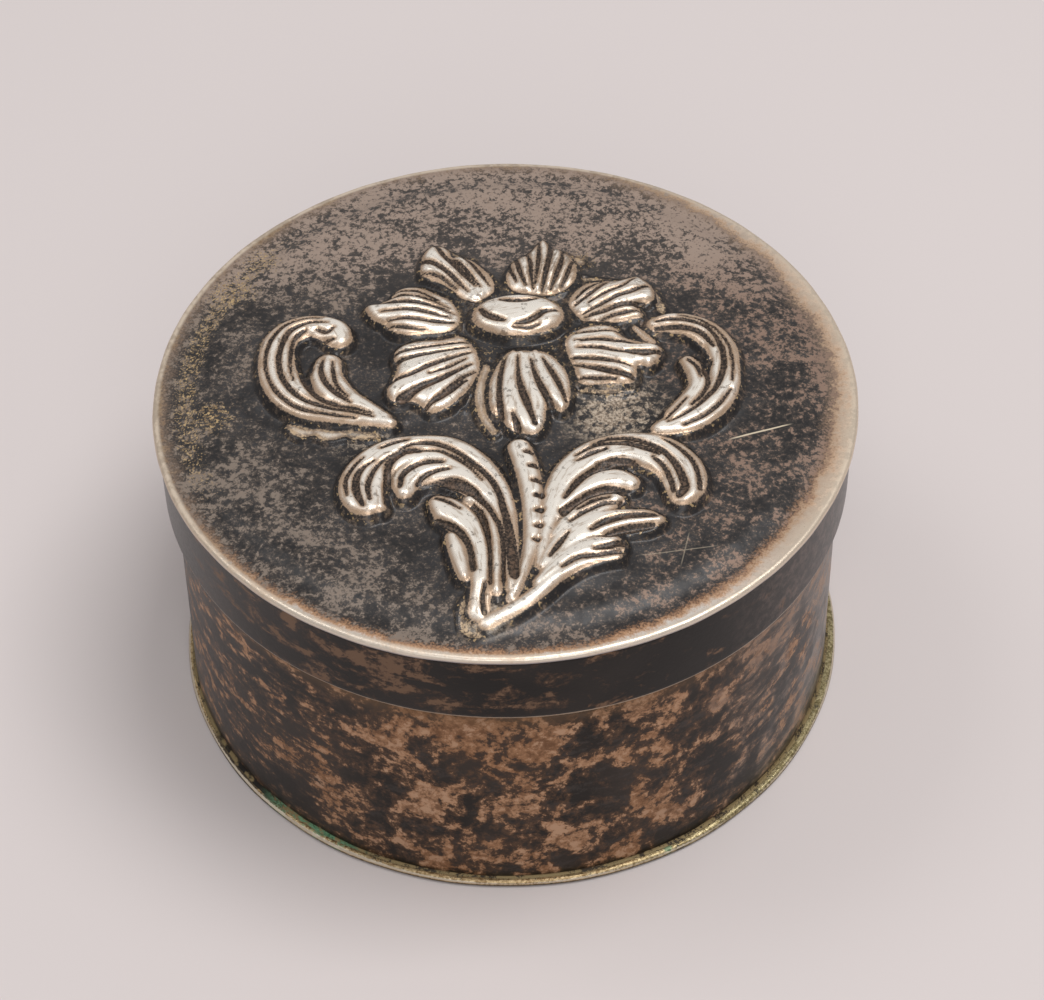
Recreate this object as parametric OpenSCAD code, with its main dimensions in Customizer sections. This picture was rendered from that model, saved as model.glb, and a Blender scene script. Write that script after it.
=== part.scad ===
// Round slip-lid box of thin sheet silver, with a flower between leaves and scrolls raised on its lid.
// Millimetres. The origin is the middle of the underside at the foot, +Z is up, and the lid is on.
// The flower's stem points to -Y, towards someone who looks at the box from the front.

/* [Base] */
// Outer diameter of the wall at its foot
wall_foot_d = 48.3; // [44:0.1:60]
// How much narrower the wall is across at its top than at its foot
wall_taper = 0.4; // [0:0.05:1]
// Height of the wall, from the base plate up
wall_h = 24.15; // [14:0.05:40]
// Thickness of the wall's sheet
wall_t = 0.45; // [0.3:0.05:1.2]
// Thickness of the base plate
base_plate_t = 0.6; // [0.4:0.05:1.5]
// How far the base plate stands out past the foot of the wall
flange_w = 0.6; // [0.5:0.05:2]
// How far the base plate sits off the wall's axis, towards +X
plate_shift = 0.15; // [0:0.05:0.4]
// Leg of the solder run at the foot of the wall
foot_fillet = 0.25; // [0.1:0.05:0.3]

/* [Lid] */
// Thickness of the lid's pressed plate
lid_plate_t = 0.6; // [0.4:0.05:1]
// How far the lid's flat field rises above its rim
lid_rise = 0.4; // [0:0.1:2]
// Width of the slope between the field and the rim
slope_w = 2; // [1:0.1:4]
// How far the rim of the plate stands out past the skirt
lid_overhang = 0.35; // [0.1:0.05:1]
// Thickness of the skirt's sheet
skirt_t = 0.45; // [0.3:0.05:1.2]
// How far the skirt hangs down below the plate
skirt_drop = 5.85; // [3:0.05:12]
// Leg of the solder run inside the lid's corner
lid_fillet = 0.12; // [0.05:0.01:0.15]

/* [Fits] */
// Radial gap between the skirt's lower edge and the wall
slip_gap = 0.2; // [0.15:0.05:0.6]
// Gap between the top of the wall and the plate of the closed lid
seat_gap = 0.05; // [0.02:0.01:0.3]
// Width of the solder seam that closes each sheet band
seam_w = 0.3; // [0.1:0.05:1]

/* [Ornament] */
// Height of the petals, leaves and scrolls above the plate
relief_h = 1.1; // [0.6:0.1:2]
// Height of the bud above the plate
bud_h = 1.6; // [0.8:0.1:3]
// Sheet left over the hollow behind the ornament
relief_skin = 0.5; // [0.4:0.05:0.8]
// Bare rim between the ornament and the edge of the plate
rim_margin = 2.1; // [1:0.1:6]
// Number of ribs on each petal
petal_ribs = 3; // [2:1:5]
// Sides of the studs that leaves and scrolls are drawn out of
stud_sides = 8; // [6:2:8]

/* [Hidden] */
$fn = 96;

wall_foot_r = wall_foot_d / 2;
wall_top_r = wall_foot_r - wall_taper / 2;
wall_top_z = base_plate_t + wall_h;
lid_under_z = wall_top_z + seat_gap;
rim_top_z = lid_under_z + lid_plate_t;
skirt_edge_z = lid_under_z - skirt_drop;
skirt_in_r = wall_r(skirt_edge_z) + slip_gap;
skirt_out_r = skirt_in_r + skirt_t;
lid_r = skirt_out_r + lid_overhang;
base_plate_r = wall_foot_r + flange_w;
// The plate's rim stays flat where the wall comes up under it.
rim_inside_wall = 0.4;
slope_out_r = wall_top_r - wall_t - rim_inside_wall;
field_r = slope_out_r - slope_w;
rim_steps = 4;
lid_segments = 84;
// Cuts run this far past what they cut.
cut_past = 1;

// Studs start this far inside the sheet, so that they join it all round.
stud_root = 0.2;
shoulder_height = 0.55;
shoulder_width = 0.86;
crown_width = 0.45;
rib_sides = 6;
outer_rib_short = 0.2;
// The ribs of a petal stand on a body of this share of their height.
petal_body_height = 0.55;
petal_body_width = 0.92;
// What is narrower than this once the sheet is taken off has no hollow behind it.
least_hollow = 0.3;

// Each petal is [base, tip, half widths at base, middle and tip].
petals = [
    [[1.5, 3.2], [1.8, -5], [1.4, 2.8, 2.2]],
    [[-2.3, 3.4], [-7, -2.2], [1.1, 2.9, 2]],
    [[-3.5, 7.2], [-9.4, 7.1], [1.1, 2.4, 1.4]],
    [[-1.9, 9.2], [-5, 13.8], [0.9, 2, 1.4]],
    [[2.3, 9.5], [2.9, 14], [1.4, 2.3, 1.3]],
    [[4.8, 7.4], [10.3, 8.4], [1.1, 2.3, 1.7]],
    [[4.5, 3.2], [10.5, 1.8], [1.1, 2.8, 1.9]],
];

// Each band is a list of [x, y, half width] along its middle.
left_scroll = [[-11.6, 4.6, 1], [-13.6, 6, 1.1], [-15.8, 4.9, 1], [-16.5, 2.6, 1.1],
    [-16, 0, 1.3], [-14.3, -2, 1.3], [-11.4, -3.1, 0.9], [-7.8, -4.1, 0.4]];
left_scroll_tongue = [[-12.6, 1.7, 0.8], [-12.8, 0.5, 0.9], [-12.2, -1, 0.9], [-11, -2.3, 0.7]];
right_scroll = [[10.8, 5.5, 0.6], [13, 5.4, 1], [14.9, 4.2, 1], [15.9, 2, 1],
    [15.8, -0.6, 1], [14.8, -2.6, 1], [13, -4.1, 0.9], [10.6, -5, 0.4]];
right_scroll_tongue = [[12.9, 1.6, 0.5], [13.5, 0.6, 0.6], [13.8, -0.8, 0.7], [13.2, -2.2, 0.7], [12.3, -3.3, 0.6]];
left_leaf = [[-0.2, -19, 0.5], [0, -15.5, 0.7], [-0.7, -12.2, 1], [-2.3, -9.4, 1.2],
    [-5, -7.1, 1.3], [-7.7, -6.9, 1.4], [-9.6, -8.6, 1.5], [-9.9, -11.4, 1.1]];
left_leaf_curl = [[-2.2, -10, 0.8], [-3.8, -8.9, 1], [-5.5, -8.7, 1.2], [-6.7, -9.6, 1.1], [-6.9, -10.8, 0.7]];
left_leaf_low = [[-4.4, -12, 0.8], [-2.8, -13.6, 1], [-1.7, -16.5, 0.7], [-1.6, -19.8, 0.5], [-2, -22, 0.9]];
left_leaf_drop = [[-3.4, -15.5, 0.5], [-2.8, -18.1, 0.5]];
right_leaf = [[2.5, -15, 0.4], [3.1, -11.8, 0.7], [4.4, -8.8, 1], [6.5, -7.1, 1.2],
    [9, -6.7, 1.3], [11.3, -7.9, 1.4], [12.4, -9.9, 1.3], [12.1, -11.6, 0.8]];
right_leaf_curl = [[3.4, -12.8, 0.4], [4.9, -10.6, 0.7], [6.9, -9.8, 0.8], [8.5, -10.1, 0.7]];
right_leaf_upper = [[3.4, -15, 0.5], [4.6, -13.4, 0.7], [6, -12.3, 0.8], [7.4, -11.8, 0.6]];
right_leaf_middle = [[3, -17.2, 0.5], [4.4, -15.4, 0.8], [6, -14, 0.9], [8, -13.5, 0.7], [9.9, -13.5, 0.4]];
right_leaf_lower = [[2.8, -18.4, 0.4], [4.2, -16.9, 0.7], [5.7, -15.7, 0.8], [7.3, -15.3, 0.5]];
right_leaf_foot = [[-0.4, -21.9, 0.5], [2.2, -19.5, 0.4], [4.4, -17.8, 0.5], [6.4, -17.1, 0.4]];
stem = [[0.9, -6.6, 0.7], [1.7, -9.5, 0.6], [2, -14, 0.5], [0.8, -19.6, 0.4]];
bands = [left_scroll, left_scroll_tongue, right_scroll, right_scroll_tongue, left_leaf, left_leaf_curl, left_leaf_low,
    left_leaf_drop, right_leaf, right_leaf_curl, right_leaf_upper, right_leaf_middle, right_leaf_lower,
    right_leaf_foot, stem];
bud = [[-0.1, 6.5, 2.1], [2.1, 6.5, 2.1]];

// The ornament is scaled from the reach that it is drawn with to the one that leaves the bare rim.
drawn_reach = max([for (points = bands) for (p = points) norm([p.x, p.y]) + p[2]]);
ornament_scale = (lid_r - rim_margin) / drawn_reach;

// Outer radius of the wall at a height: it narrows evenly from foot to top.
function wall_r(z) = wall_foot_r + (wall_top_r - wall_foot_r) * (z - base_plate_t) / wall_h;

// Height of the plate's top face at a distance from the lid's middle: a flat field, a slope and a flat rim.
function plate_top_z(r) = rim_top_z + lid_rise * max(0, min(1, (slope_out_r - r) / slope_w));

// The petal's rib number i: a stud at its base and one at its tip.
// The outer ribs stop short, so that the petal has a rounded end.
function petal_rib(petal, i) =
    let (base = petal[0], tip = petal[1], widths = petal[2])
    let (along = tip - base, across = [-along.y, along.x] / norm(along))
    let (side = (2 * i + 1) / petal_ribs - 1, reach = 1 - outer_rib_short * side * side)
    let (foot = base + across * side * widths[0])
    let (end = base + along * reach + across * side * (widths[1] + widths[2]) / 2)
    [[foot.x, foot.y, widths[0] / petal_ribs], [end.x, end.y, widths[2] / petal_ribs]];

// The petal's body: three studs along its middle.
function petal_body(petal) =
    [for (k = [0:2])
        let (p = petal[0] + (petal[1] - petal[0]) * k / 2)
        [p.x, p.y, petal[2][k] * petal_body_width]];

// A low rounded stud under one point of a band.
module stud(point, height, sides) {
    w = point[2] * ornament_scale;
    x = point.x * ornament_scale;
    y = point.y * ornament_scale;
    tall = height + stud_root;
    translate([x, y, plate_top_z(norm([x, y])) - stud_root]) {
        cylinder(h = tall * shoulder_height, r1 = w, r2 = w * shoulder_width, $fn = sides);
        cylinder(h = tall, r1 = w * shoulder_width, r2 = w * crown_width, $fn = sides);
    }
}

// The hollow under one point of a band: it leaves the sheet's thickness at the sides and above.
module hollow(point, height, sides) {
    w = point[2] * ornament_scale - relief_skin;
    x = point.x * ornament_scale;
    y = point.y * ornament_scale;
    tall = height - relief_skin + lid_plate_t + stud_root;
    translate([x, y, plate_top_z(norm([x, y])) - lid_plate_t - stud_root])
        cylinder(h = tall, r1 = w, r2 = w * crown_width, $fn = sides);
}

// A band drawn through its points, as a chain of studs joined two by two.
module band(points, height, sides = stud_sides) {
    for (i = [0:len(points) - 2])
        hull() {
            stud(points[i], height, sides);
            stud(points[i + 1], height, sides);
        }
}

// The hollow behind a band, as far as the band is wide enough to have one.
module band_hollow(points, height) {
    for (i = [0:len(points) - 2])
        if (min(points[i][2], points[i + 1][2]) * ornament_scale > relief_skin + least_hollow)
            hull() {
                hollow(points[i], height, rib_sides);
                hollow(points[i + 1], height, rib_sides);
            }
}

// The raised ornament: leaves and scrolls, the bud, and the petals with their ribs.
module ornament() {
    for (points = bands) band(points, relief_h);
    band(bud, bud_h);
    for (petal = petals) {
        band(petal_body(petal), relief_h * petal_body_height);
        for (i = [0:petal_ribs - 1]) band(petal_rib(petal, i), relief_h, rib_sides);
    }
}

// The hollow behind the ornament's wide forms.
module ornament_hollow() {
    for (points = bands) band_hollow(points, relief_h);
    band_hollow(bud, bud_h);
    for (petal = petals) band_hollow(petal_body(petal), relief_h * petal_body_height);
}

// The slit in a sheet band at the back, where its two ends meet.
module seam_space(low, high) {
    reach = lid_r + cut_past;
    translate([-seam_w / 2, 0, low]) cube([seam_w, reach, high - low]);
}

// The wall before it is slit: a ring whose section leans in from foot to top.
module wall_ring() {
    rotate_extrude()
        polygon([[wall_foot_r - wall_t, base_plate_t], [wall_foot_r, base_plate_t],
            [wall_top_r, wall_top_z], [wall_top_r - wall_t, wall_top_z]]);
}

// The skirt before it is slit.
module skirt_ring() {
    rotate_extrude()
        translate([skirt_in_r, skirt_edge_z]) square([skirt_t, skirt_drop]);
}

module base_plate() {
    color([0.55, 0.47, 0.28])
        translate([plate_shift, 0, 0]) cylinder(h = base_plate_t, r = base_plate_r);
}

module base_wall() {
    color([0.32, 0.26, 0.23])
        difference() {
            wall_ring();
            seam_space(0, wall_top_z + cut_past);
        }
}

module base_wall_seam() {
    color([0.6, 0.57, 0.5])
        intersection() {
            wall_ring();
            seam_space(0, wall_top_z + cut_past);
        }
}

// A ring of solder on the flange, against the foot of the wall.
module base_solder_fillet() {
    color([0.45, 0.4, 0.22])
        rotate_extrude()
            polygon([[wall_foot_r, base_plate_t], [wall_foot_r + foot_fillet, base_plate_t],
                [wall_r(base_plate_t + foot_fillet), base_plate_t + foot_fillet]]);
}

// The pressed sheet: a raised field inside a flat rim with a round edge, the ornament on it and the hollow behind.
module lid_plate() {
    edge_r = lid_plate_t / 2;
    top_face = [for (r = [0, field_r, slope_out_r]) [r, plate_top_z(r)]];
    round_edge = [for (i = [0:rim_steps]) let (a = 90 - 180 * i / rim_steps)
        [lid_r - edge_r + edge_r * cos(a), rim_top_z - edge_r + edge_r * sin(a)]];
    under_face = [for (r = [slope_out_r, field_r, 0]) [r, plate_top_z(r) - lid_plate_t]];
    color([0.4, 0.38, 0.36])
        difference() {
            union() {
                rotate_extrude($fn = lid_segments) polygon(concat(top_face, round_edge, under_face));
                ornament();
            }
            ornament_hollow();
        }
}

module lid_skirt() {
    color([0.28, 0.24, 0.22])
        difference() {
            skirt_ring();
            seam_space(skirt_edge_z - cut_past, lid_under_z + cut_past);
        }
}

module lid_skirt_seam() {
    color([0.6, 0.57, 0.5])
        intersection() {
            skirt_ring();
            seam_space(skirt_edge_z - cut_past, lid_under_z + cut_past);
        }
}

// A ring of solder in the corner between the plate and the skirt.
module lid_solder_fillet() {
    color([0.5, 0.47, 0.4])
        rotate_extrude()
            polygon([[skirt_in_r, lid_under_z], [skirt_in_r - lid_fillet, lid_under_z],
                [skirt_in_r, lid_under_z - lid_fillet]]);
}

base_plate();
base_wall();
base_wall_seam();
base_solder_fillet();
lid_plate();
lid_skirt();
lid_skirt_seam();
lid_solder_fillet();
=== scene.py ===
"""A small round slip-lid box of tarnished sheet silver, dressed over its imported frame.

Lengths in the lists below are millimetres, seen from above with the lid's middle at 0, 0 and the front at -Y.
Everything that reaches Blender is in metres.
"""

import math
import bpy
import numpy as np
from mathutils import Matrix, Vector


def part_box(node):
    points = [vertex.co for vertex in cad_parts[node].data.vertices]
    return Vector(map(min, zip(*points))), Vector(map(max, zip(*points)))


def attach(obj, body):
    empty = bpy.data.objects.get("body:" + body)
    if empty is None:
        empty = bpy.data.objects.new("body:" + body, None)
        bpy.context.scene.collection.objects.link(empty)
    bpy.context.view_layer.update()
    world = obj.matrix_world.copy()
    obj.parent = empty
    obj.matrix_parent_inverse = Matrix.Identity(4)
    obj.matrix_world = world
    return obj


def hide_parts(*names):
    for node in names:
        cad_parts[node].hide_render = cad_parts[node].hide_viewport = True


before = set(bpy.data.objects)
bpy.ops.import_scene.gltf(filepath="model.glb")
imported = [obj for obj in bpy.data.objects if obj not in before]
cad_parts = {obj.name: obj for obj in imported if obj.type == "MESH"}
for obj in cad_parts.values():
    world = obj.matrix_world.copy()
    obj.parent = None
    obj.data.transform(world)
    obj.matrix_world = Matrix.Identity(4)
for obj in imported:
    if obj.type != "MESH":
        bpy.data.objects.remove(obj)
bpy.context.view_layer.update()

MM = 0.001

# Sheet and edges
PLATE_T = 0.6
FIELD_RISE = 0.4
SLOPE_W = 2.0
SKIRT_T = 0.45
WALL_T = 0.45
BUD_HEIGHT = 1.6
RELIEF_HEIGHT = 1.1
FOOT_SLOPE = 0.35
STROKE_WIDTH = 1.06

# Grids
MAP_REACH = 25.0
MAP_STEP = 0.05
FACE_CELLS = 280
BACK_CELLS = 144
ROUND_CELLS = 480


def in_mm(corner):
    """A corner of a node's box in millimetres."""
    return np.array(corner) / MM


plate_low, plate_high = map(in_mm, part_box("lid_plate"))
skirt_low, skirt_high = map(in_mm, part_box("lid_skirt"))
wall_low, wall_high = map(in_mm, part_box("base_wall"))
foot_low, foot_high = map(in_mm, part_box("base_plate"))

LID_R = plate_high[0]
SKIRT_R = skirt_high[0]
SKIRT_EDGE_Z = skirt_low[2]
LID_UNDER_Z = skirt_high[2]
RIM_TOP_Z = LID_UNDER_Z + PLATE_T
WALL_FOOT_R = wall_high[0]
WALL_TAPER = 0.2
WALL_TOP_Z = wall_high[2]
FOOT_R = (foot_high[0] - foot_low[0]) / 2
FOOT_SHIFT = (foot_high[0] + foot_low[0]) / 2
FOOT_T = foot_high[2]
WALL_TOP_R = WALL_FOOT_R - WALL_TAPER
SLOPE_R = 23.1

# The seven petals: the outline of each, from its base round its tip and back, and the strokes chased into it.
# A stroke is a list of [x, y, half width] along a dark groove.
PETALS = [
    {"outline": [(0.2, 3.0), (-0.5, 1.7), (-1.0, 0.2), (-1.1, -1.5), (-0.95, -3.1), (-0.3, -3.6), (0.2, -4.7),
                 (1.1, -5.2), (2.2, -5.3), (2.75, -4.2), (2.9, -3.0), (3.4, -2.75), (3.9, -3.2), (4.4, -2.6),
                 (4.6, -1.2), (4.5, 0.2), (4.0, 1.6), (3.0, 2.9), (1.6, 3.2)],
     "axis": [(1.5, 3.2), (1.8, -5.2)],
     "strokes": [[(-0.05, 2.3, 0.1), (-0.3, 0.5, 0.14), (-0.4, -1.5, 0.16), (-0.3, -3.4, 0.2)],
                 [(0.95, 2.3, 0.06), (0.95, 0.5, 0.09), (1.1, -0.9, 0.2), (1.5, -2.5, 0.24), (1.95, -4.1, 0.13)],
                 [(1.9, 1.9, 0.06), (2.15, 0.4, 0.13), (2.5, -0.9, 0.2), (3.05, -2.3, 0.22)],
                 [(2.8, 2.1, 0.07), (3.25, 0.9, 0.16), (3.75, -0.5, 0.17), (4.15, -1.8, 0.12)],
                 [(0.6, -3.8, 0.1), (0.8, -4.6, 0.2)]]},
    {"outline": [(-2.1, 3.4), (-3.1, 4.7), (-4.6, 4.4), (-6.2, 4.2), (-7.4, 3.6), (-7.9, 2.6), (-7.6, 1.4),
                 (-7.9, 0.2), (-8.3, -0.9), (-7.9, -1.9), (-7.2, -2.0), (-6.5, -2.0), (-5.8, -2.5), (-5.2, -3.1),
                 (-4.1, -2.7), (-3.0, -1.5), (-2.2, 0.0), (-1.8, 1.6)],
     "axis": [(-2.2, 3.6), (-7.0, -2.4)],
     "strokes": [[(-3.0, 4.1, 0.06), (-4.6, 3.75, 0.1), (-6.0, 3.3, 0.12), (-7.5, 2.8, 0.12)],
                 [(-2.9, 3.5, 0.06), (-4.5, 2.95, 0.1), (-6.0, 2.4, 0.14), (-7.5, 1.9, 0.16)],
                 [(-2.7, 2.9, 0.08), (-4.0, 2.1, 0.14), (-5.4, 1.2, 0.15), (-6.6, 0.45, 0.16), (-7.6, 0.1, 0.14)],
                 [(-3.0, 2.0, 0.05), (-4.0, 1.1, 0.09), (-4.9, 0.6, 0.05)],
                 [(-2.6, 1.5, 0.06), (-3.6, 0.6, 0.14), (-4.7, -0.3, 0.2), (-5.9, -0.9, 0.26), (-6.9, -1.6, 0.3)],
                 [(-2.3, 0.8, 0.06), (-3.1, 0.0, 0.1), (-3.9, -0.9, 0.06)],
                 [(-2.9, -0.3, 0.06), (-3.8, -1.2, 0.2), (-4.6, -1.9, 0.22), (-5.3, -2.5, 0.14)]]},
    {"outline": [(-3.3, 7.2), (-3.7, 8.2), (-4.4, 8.8), (-5.2, 9.3), (-6.2, 9.75), (-7.2, 9.7), (-7.9, 9.3),
                 (-8.2, 8.6), (-8.9, 8.2), (-9.9, 8.0), (-10.0, 7.5), (-9.7, 6.8), (-9.2, 6.2), (-8.6, 5.95),
                 (-8.3, 5.4), (-7.7, 4.95), (-6.8, 4.8), (-5.5, 5.0), (-4.4, 5.2), (-3.6, 5.6), (-3.2, 6.4)],
     "axis": [(-3.4, 7.1), (-9.8, 7.2)],
     "strokes": [[(-7.5, 9.15, 0.08), (-6.2, 9.15, 0.13), (-5.0, 8.55, 0.08)],
                 [(-7.9, 8.6, 0.06), (-6.5, 8.6, 0.09), (-5.2, 8.3, 0.09), (-4.2, 7.8, 0.05)],
                 [(-9.5, 8.0, 0.1), (-8.0, 7.95, 0.14), (-6.6, 7.9, 0.14), (-5.2, 7.7, 0.12), (-3.9, 7.2, 0.06)],
                 [(-8.4, 7.0, 0.06), (-7.0, 7.1, 0.13), (-5.8, 7.0, 0.14), (-4.2, 6.7, 0.07)],
                 [(-7.9, 6.1, 0.07), (-6.5, 6.2, 0.12), (-5.0, 6.1, 0.11), (-3.9, 6.1, 0.06)],
                 [(-8.0, 5.5, 0.06), (-7.1, 5.35, 0.1), (-6.0, 5.3, 0.05)]]},
    {"outline": [(-1.6, 8.6), (-0.7, 9.6), (-0.9, 10.8), (-1.7, 11.9), (-2.5, 12.7), (-3.3, 13.0), (-3.8, 12.9),
                 (-4.0, 13.6), (-4.6, 14.2), (-5.2, 14.3), (-5.8, 13.5), (-6.05, 12.4), (-6.0, 11.2),
                 (-5.2, 10.5), (-4.1, 9.9), (-3.2, 8.9), (-2.3, 8.3)],
     "axis": [(-1.9, 8.8), (-5.2, 14.0)],
     "strokes": [[(-5.9, 12.45, 0.16), (-5.1, 12.0, 0.16), (-4.2, 11.2, 0.14), (-3.4, 10.3, 0.13), (-2.8, 9.6, 0.06)],
                 [(-4.9, 14.0, 0.12), (-4.55, 13.2, 0.16), (-3.9, 12.2, 0.16), (-3.1, 11.1, 0.15), (-2.3, 10.1, 0.06)],
                 [(-3.9, 12.6, 0.05), (-3.2, 12.0, 0.1), (-2.6, 11.1, 0.12), (-1.9, 10.1, 0.05)],
                 [(-2.9, 12.8, 0.1), (-2.2, 11.9, 0.13), (-1.7, 11.1, 0.12), (-1.2, 10.3, 0.06)],
                 [(-5.6, 11.1, 0.05), (-4.6, 10.7, 0.1), (-3.7, 9.9, 0.08)]]},
    {"outline": [(0.6, 9.6), (0.2, 10.6), (0.35, 11.6), (0.8, 12.5), (1.5, 13.0), (2.1, 13.6), (2.6, 14.5),
                 (2.95, 14.8), (3.3, 14.3), (3.6, 13.7), (4.1, 13.6), (4.8, 12.9), (5.2, 12.1), (5.3, 11.2),
                 (5.1, 10.3), (4.3, 9.4), (3.2, 9.0), (1.8, 9.1)],
     "axis": [(2.2, 9.0), (3.0, 14.5)],
     "strokes": [[(0.95, 12.3, 0.1), (1.15, 11.3, 0.14), (1.5, 10.2, 0.08)],
                 [(1.75, 12.9, 0.06), (1.95, 11.8, 0.12), (2.0, 10.7, 0.1), (2.1, 9.9, 0.05)],
                 [(2.6, 14.0, 0.06), (2.6, 12.8, 0.12), (2.5, 11.6, 0.11), (2.35, 10.4, 0.05)],
                 [(3.45, 13.9, 0.13), (3.4, 12.8, 0.16), (3.2, 11.6, 0.15), (2.95, 10.4, 0.12), (2.8, 9.6, 0.06)],
                 [(4.3, 12.9, 0.08), (4.2, 11.9, 0.14), (3.85, 10.8, 0.13), (3.5, 9.8, 0.07)],
                 [(4.95, 11.9, 0.07), (4.7, 11.0, 0.12), (4.3, 10.0, 0.07)],
                 [(0.5, 11.5, 0.1), (0.8, 10.6, 0.07)]]},
    {"outline": [(4.7, 7.9), (4.9, 8.8), (5.4, 9.5), (6.2, 10.0), (7.2, 10.15), (8.2, 10.1), (9.0, 10.4),
                 (9.7, 10.6), (10.2, 10.2), (10.7, 9.6), (10.9, 8.8), (10.8, 8.1), (10.3, 7.75), (9.8, 7.6),
                 (9.7, 7.2), (9.95, 6.7), (9.8, 6.25), (9.0, 6.0), (8.0, 5.8), (7.2, 6.0), (6.3, 6.1),
                 (5.6, 6.3), (5.1, 7.0)],
     "axis": [(4.8, 7.4), (10.5, 8.9)],
     "strokes": [[(5.3, 8.6, 0.07), (5.9, 9.3, 0.12), (6.7, 9.8, 0.08)],
                 [(5.4, 8.0, 0.08), (6.3, 8.8, 0.13), (7.1, 9.5, 0.1)],
                 [(6.4, 8.0, 0.05), (7.3, 8.6, 0.1), (8.6, 9.3, 0.08), (9.2, 9.9, 0.05)],
                 [(6.0, 7.0, 0.06), (7.2, 7.6, 0.12), (8.4, 8.3, 0.13), (9.3, 8.7, 0.12), (10.1, 9.2, 0.08)],
                 [(6.1, 6.6, 0.07), (7.4, 6.9, 0.15), (8.6, 7.3, 0.16), (9.6, 7.5, 0.2)],
                 [(7.2, 6.2, 0.05), (8.5, 6.5, 0.1), (9.5, 6.75, 0.06)]]},
    {"outline": [(4.4, 4.3), (5.2, 5.2), (6.2, 5.6), (7.4, 5.5), (8.1, 5.0), (8.3, 4.4), (8.8, 4.0), (9.6, 3.7),
                 (10.4, 3.6), (11.0, 3.3), (11.2, 2.8), (11.05, 2.2), (10.8, 1.7), (10.2, 1.2), (9.7, 1.4),
                 (9.35, 1.1), (9.3, 0.2), (9.0, -0.3), (8.2, -0.5), (7.0, -0.5), (6.0, -0.5), (5.3, -0.2),
                 (5.1, 0.5), (4.9, 1.5), (4.5, 2.8)],
     "axis": [(4.5, 3.4), (10.8, 2.0)],
     "strokes": [[(5.3, 4.95, 0.05), (6.6, 4.85, 0.09), (7.8, 4.8, 0.06)],
                 [(5.4, 4.05, 0.07), (6.7, 3.9, 0.13), (7.9, 3.6, 0.13), (9.2, 3.4, 0.12), (10.3, 3.5, 0.08)],
                 [(5.5, 3.3, 0.06), (6.8, 2.95, 0.12), (7.9, 2.5, 0.1), (8.8, 2.3, 0.06)],
                 [(9.1, 2.4, 0.14), (10.0, 2.3, 0.24), (10.7, 2.5, 0.14)],
                 [(5.0, 2.3, 0.06), (6.2, 1.95, 0.13), (7.4, 1.5, 0.1), (8.5, 1.2, 0.06)],
                 [(5.2, 1.55, 0.06), (6.3, 0.95, 0.16), (7.4, 0.5, 0.2), (8.6, 0.15, 0.16)],
                 [(5.3, 0.2, 0.06), (6.4, -0.05, 0.1), (7.4, -0.15, 0.06)]]},
]

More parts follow.
